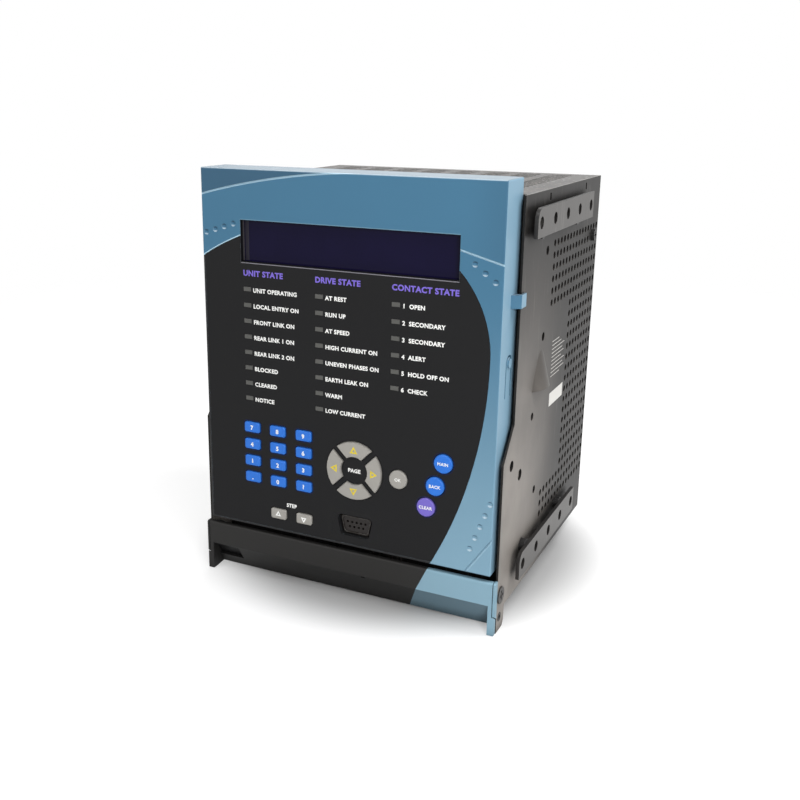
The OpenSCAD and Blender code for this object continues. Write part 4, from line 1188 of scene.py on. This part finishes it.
@dataclass
class Keypad(Assembly):
    """All keys, the rings of painted shade round them and the words between them."""

    ARROWS: ClassVar[tuple[tuple[str, Shape, float], ...]] = (
        ("value_up_key", Shape.OBLONG, 0.0), ("value_down_key", Shape.OBLONG, 180.0),
        ("ring_up_key", Shape.RING, 0.0), ("ring_left_key", Shape.RING, 90.0),
        ("ring_down_key", Shape.RING, 180.0), ("ring_right_key", Shape.RING, 270.0),
    )
    ROUNDS: ClassVar[tuple[tuple[str, str, str], ...]] = (
        ("enter_key", "key_grey", "OK"), ("menu_key", "key_blue", "MAIN"),
        ("escape_key", "key_blue", "BACK"), ("reset_key", "key_violet", "CLEAR"),
    )

    well_grow: tuple[float, float] = (1.0 * MM, 0.42 * MM)
    collar: float = 0.8 * MM
    corner: float = 1.2 * MM
    word_cap: float = 2.2 * MM
    word_bold: float = 0.042
    word_rise: float = 2.6 * MM
    round_cap: float = 1.75 * MM
    round_bold: float = 0.03
    keys: list[Key] = field(default_factory=list)

    def __post_init__(self) -> None:
        """Lists the keys."""
        numbers = [(f"key_{digit}", str(digit)) for digit in range(10)]
        for node, legend in (*numbers, ("key_point", "."), ("key_help", "?")):
            self.keys.append(Key(node, "key_blue", Shape.OBLONG, legend))
        for node, shape, turn in self.ARROWS:
            self.keys.append(Key(node, "key_grey", shape, arrow=turn))
        for node, finish, legend in self.ROUNDS:
            self.keys.append(Key(node, finish, Shape.ROUND, legend,
                                 cap=self.round_cap, bold=self.round_bold))

    def dress(self) -> None:
        """Dresses every key."""
        for key in self.keys:
            key.dress()

    def build(self) -> None:
        """Prints the legends, the rings of painted shade and the words between the keys."""
        for key in self.keys:
            key.build()
        single = [key for key in self.keys if key.shape is not Shape.RING]
        self._wells("key_shade_rings_blue", "shade_navy", [key for key in single if key.finish != "key_grey"])
        self._wells("key_shade_rings_grey", "shade_black", [key for key in single if key.finish == "key_grey"])
        self._words()

    def _wells(self, name: str, finish: str, keys: Sequence[Key]) -> None:
        """Draws a ring of painted shade round some keys.

        Args:
            name: The piece's name.
            finish: The finish of the painted shade ring.
            keys: The keys.
        """
        drawing = Drawing()
        for key in keys:
            low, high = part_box(key.node)
            size = high - low - Vector((2 * self.collar,) * 3)
            if key.shape is Shape.ROUND:
                loops = [circle_loop(size.x / 2 + grow) for grow in self.well_grow]
            else:
                loops = [rounded_loop(size.x + 2 * grow, size.z + 2 * grow, self.corner + grow)
                         for grow in self.well_grow]
            drawing.prism(loops, Facing.FRONT.matrix(middle_of(key.node, FACE.front)))
        drawing.piece(name, finish)

    def _words(self) -> None:
        """Prints the words over the value keys and inside the ring."""
        words = Drawing()
        up, down, left, right = (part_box(node) for node in (
            "value_up_key", "value_down_key", "ring_left_key", "ring_right_key"))
        over = Vector(((up[0].x + down[1].x) / 2, FACE.front, up[1].z + self.word_rise))
        inside = Vector(((left[0].x + right[1].x) / 2, FACE.front, (left[0].z + left[1].z) / 2))
        for text, place in (("STEP", over), ("PAGE", inside)):
            words.words(text, self.word_cap, place, Align.CENTRE, self.word_bold)
        words.piece("keypad_words", "ink_white")


@dataclass
class Port(Assembly):
    """The serial port's shell and insert, in a dark ring of painted shadow round its opening."""

    COATS = {"port_tin": ("port_shell",), "port_moulding": ("port_insert",)}

    surround: float = 2.1 * MM
    corner: float = 2.0 * MM

    def build(self) -> None:
        """Draws the painted shadow round the port's opening."""
        low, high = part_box("port_shell")
        loops = [rounded_loop(high.x - low.x + 2 * grow, high.z - low.z + 2 * grow, self.corner)
                 for grow in (self.surround, 0.0)]
        matrix = Facing.FRONT.matrix(middle_of("port_shell", FACE.front))
        draw_patch("port_opening_shadow", "shade_black", loops, matrix)


@dataclass
class Chassis(Assembly):
    """The sheet-metal box with its rails, rear plugs and boards."""

    COATS = {
        "chassis_coat": ("left_side_plate", "right_side_plate", "bottom_plate", "rear_panel", "front_plate"),
        "cover_coat": ("top_cover",),
        "rail_coat": ("upper_left_rail", "upper_right_rail", "lower_left_rail", "lower_right_rail"),
        "screw_black": ("chassis_screws", "rail_spacers", "guide_pins"),
        "screw_grey": ("pivot_screws",), "plated_steel": ("bezel_screws",),
        "plug_moulding": ("rear_plug_blocks",), "blade_brass": ("rear_blades",),
        "board_mask": ("main_board", "supply_board"), "relay_case": ("output_relays",),
        "core_iron": ("input_transformers",),
    }

    # Lengths of the ruled lines in millimetres, from the lowest
    LINES: ClassVar[tuple[float, ...]] = (18.0, 27.0, 24.0, 27.0, 20.0, 25.0, 22.0, 26.0, 19.0, 14.0)

    print_y: float = 83.0 * MM
    print_low: float = 90.0 * MM
    line_pitch: float = 2.3 * MM
    line_w: float = 0.4 * MM
    line_corner: float = 0.1 * MM
    sticker: tuple[float, float] = (28.0 * MM, 8.0 * MM)
    sticker_low: float = 72.0 * MM
    sticker_corner: float = 0.5 * MM

    def build(self) -> None:
        """Prints the ruled lines and sticks the bare sticker on the right plate."""
        lines = Drawing()
        for row, length in enumerate(self.LINES):
            matrix = self._print_place(length * MM, self.print_low + row * self.line_pitch)
            lines.prism((rounded_loop(length * MM, self.line_w, self.line_corner),), matrix)
        lines.piece("side_ruled_lines", "ink_grey", slot=Slot.CHASSIS)
        width, height = self.sticker
        matrix = self._print_place(width, self.sticker_low + height / 2)
        paper = rounded_loop(width, height, self.sticker_corner)
        draw_patch("side_sticker", "sticker_paper", (paper,), matrix, Slot.CHASSIS)

    def _print_place(self, length: float, rise: float) -> Matrix:
        """Returns the matrix that stands print of a length on the right plate, at a rise."""
        y = FACE.front + self.print_y + length / 2
        return Facing.RIGHT.matrix(Vector((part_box("handle_corner_caps")[1].x, y, FACE.bottom + rise)))


@dataclass
class Handle(Assembly):
    """The two-tone handle with its latch and the latch's coil spring."""

    COATS = {"handle_moulding": ("handle", "handle_corner_caps"), "plated_steel": ("latch",)}

    # The pocket's edges, the scoop's front from top to bottom, and the back's faces as shares of its wall
    pocket_x: tuple[float, float] = (-87.58 * MM, -70.02 * MM)
    pocket_rise: tuple[float, float] = (-26.48 * MM, -17.52 * MM)
    scoop_y: tuple[float, float] = (-0.4 * MM, 10.0 * MM)
    scoop_rise: tuple[float, float] = (-16.7 * MM, -32.9 * MM)
    wall: float = 3.0 * MM
    back: tuple[float, float] = (0.8, 0.95)

    # The coil spring's wire and windings, and how far the latch presses it
    wire: float = 0.3 * MM
    turns: int = 5
    turn_steps: int = 24
    wire_steps: int = 8
    latch_travel: float = 4.0 * MM

    def build(self) -> None:
        """Closes the pocket with a dark sheet of painted shade and winds the spring."""
        self._pocket_back()
        self._spring()

    def _pocket_back(self) -> None:
        """Closes the pocket at the scoop's left end with a thin dark back inside the scoop's wall, a dark
        sheet that stands in for the shade inside the pocket.
        """
        (top_y, low_y), (top_rise, low_rise) = self.scoop_y, self.scoop_rise
        mesh = bmesh.new()
        rings = []
        for depth in self.back:
            ring = []
            for side, end in ((0, 0), (1, 0), (1, 1), (0, 1)):
                rise = self.pocket_rise[end]
                down = (top_rise - rise) / (top_rise - low_rise)
                y = top_y + down * (low_y - top_y) + depth * self.wall
                ring.append(mesh.verts.new((self.pocket_x[side], FACE.front + y, FACE.bottom + rise)))
            rings.append(ring)
        skin(mesh, rings, capped=True)
        add_piece("handle_pocket_shade", mesh, "shade_black", Body.HANDLE.value)

    def _spring(self) -> None:
        """Winds the coil spring at rest; on the real handle it is pressed against the shelf over it as the
        latch rises.
        """
        low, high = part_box("latch_spring")
        middle = (low + high) / 2
        radius = (high.x - low.x) / 2 - self.wire
        rise = high.z - low.z - 2 * self.wire
        steps = self.turns * self.turn_steps
        mesh = bmesh.new()
        rings = []
        for k in range(steps + 1):
            turn = 2 * math.pi * k / self.turn_steps
            out = Vector((math.cos(turn), math.sin(turn), 0))
            core = Vector((middle.x, middle.y, low.z + self.wire + rise * k / steps)) + radius * out
            rings.append([mesh.verts.new(core + spoke.x * out + Vector((0, 0, spoke.y)))
                          for spoke in circle_loop(self.wire, self.wire_steps)])
        skin(mesh, rings, capped=True)
        spring = add_piece("latch_coil", mesh, "spring_wire", Body.HANDLE.value)
        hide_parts("latch_spring")
        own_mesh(spring)


@dataclass
class Studio:
    """Pale floor, soft lamps and the camera at the photograph's angle."""

    # Name, place, side and power in watts of each lamp
    LAMPS: ClassVar[tuple[tuple[str, tuple[float, ...], float, float], ...]] = (
        ("over_right", (0.6, 0.15, 1.1), 0.5, 8.0),
        ("over_front", (-0.1, -0.5, 1.1), 0.5, 3.0),
        ("right_front", (0.6, -0.75, 0.4), 0.3, 4.7),
        ("front_left", (-0.7, -1.3, 0.7), 1.2, 4.5),
        ("behind", (-0.4, 1.1, 0.8), 1.0, 5.0),
    )

    camera_place: tuple[float, float, float] = (0.2383, -0.5544, 0.2782)
    camera_turn: tuple[float, float, float] = (74.115, -0.399, 26.466)
    lens: float = 45.14
    sensor: float = 36.0
    shift: tuple[float, float] = (0.0535, -0.0225)
    lamp_aim: tuple[float, float, float] = (0.0, 0.0, 0.12)
    ambient: float = 0.25
    floor_half: float = 1.5
    floor_fade: tuple[float, float] = (0.4, 1.1)
    floor_lift: float = 0.6
    floor_tone: float = 0.55
    floor_rough: float = 0.8
    floor_shine: float = 0.1
    lift_reach: tuple[float, float] = (0.09, 0.14)

    def build(self) -> None:
        """Sets the world, the floor, the lamps and the camera."""
        scene = bpy.context.scene
        scene.view_settings.view_transform = "Standard"
        self._world(scene)
        self._floor(scene)
        for name, place, size, power in self.LAMPS:
            self._lamp(scene, name, Vector(place), size, power)
        self._camera(scene)

    def _world(self, scene: bpy.types.Scene) -> None:
        """Makes a world that is white to the camera and in reflections, and a soft fill otherwise.

        Args:
            scene: The scene.
        """
        world = bpy.data.worlds.new("studio")
        world.use_nodes = True
        scene.world = world
        wires = NodeTree(world.node_tree)
        strength = wires.scaled(self._seen(wires), 1.0 - self.ambient, self.ambient)
        wires.fill(world.node_tree.nodes["Background"], {"Color": WHITE, "Strength": strength})

    @staticmethod
    def _seen(wires: NodeTree) -> Socket:
        """Returns one for rays that the camera sees straight, in a reflection or through glass."""
        path = wires.put("ShaderNodeLightPath").outputs
        return wires.most(path["Is Camera Ray"], path["Is Glossy Ray"], path["Is Transmission Ray"])

    def _floor(self, scene: bpy.types.Scene) -> None:
        """Lays the pale floor at the part's lowest point.

        Args:
            scene: The scene.
        """
        mesh = bmesh.new()
        bmesh.ops.create_grid(mesh, x_segments=1, y_segments=1, size=self.floor_half)
        data = bpy.data.meshes.new("floor")
        mesh.to_mesh(data)
        mesh.free()
        floor = bpy.data.objects.new("floor", data)
        floor.location.z = CAD_BOX[0].z
        scene.collection.objects.link(floor)
        data.materials.append(self._floor_finish())

    def _floor_finish(self) -> bpy.types.Material:
        """Makes the floor's finish, which is lifted to white where it is seen and fades out far away.

        Returns:
            The floor's material.
        """
        material = bpy.data.materials.new("pale_floor")
        material.use_nodes = True
        wires = NodeTree(material.node_tree)
        away = wires.vector("LENGTH", wires.place(), value=True)
        lift = wires.times(wires.ramp(away, *self.lift_reach), self.floor_lift)
        wires.fill(material.node_tree.nodes["Principled BSDF"], {
            "Base Color": (self.floor_tone,) * 3 + (1.0,), "Roughness": self.floor_rough,
            "Specular IOR Level": self.floor_shine, "Emission Color": WHITE,
            "Emission Strength": wires.times(self._seen(wires), lift),
            "Alpha": wires.rest(wires.ramp(away, *self.floor_fade))})
        return material

    def _lamp(self, scene: bpy.types.Scene, name: str, place: Vector, size: float, power: float) -> None:
        """Hangs one soft lamp that faces the part's middle.

        Args:
            scene: The scene.
            name: The lamp's name.
            place: Where it hangs.
            size: Side of its square face.
            power: Its power in watts.
        """
        data = bpy.data.lights.new(name, "AREA")
        data.size = size
        data.energy = power
        lamp = bpy.data.objects.new(name, data)
        lamp.location = place
        lamp.rotation_euler = (Vector(self.lamp_aim) - place).to_track_quat("-Z", "Y").to_euler()
        scene.collection.objects.link(lamp)

    def _camera(self, scene: bpy.types.Scene) -> None:
        """Stands the camera where the photograph was taken from.

        Args:
            scene: The scene.
        """
        data = bpy.data.cameras.new("camera")
        data.lens = self.lens
        data.sensor_width = self.sensor
        data.shift_x, data.shift_y = self.shift
        camera = bpy.data.objects.new("camera", data)
        camera.location = self.camera_place
        camera.rotation_euler = [math.radians(angle) for angle in self.camera_turn]
        scene.collection.objects.link(camera)
        scene.camera = camera


def main() -> None:
    """Builds the studio and every sub-assembly, and reports each piece."""
    logging.basicConfig(level=logging.INFO, format="%(name)s: %(message)s")
    Studio().build()
    for assembly in (Bezel(), StatusLights(), Keypad(), Port(), Chassis(), Handle()):
        assembly.dress()
        assembly.build()


if __name__ == "__main__":
    main()
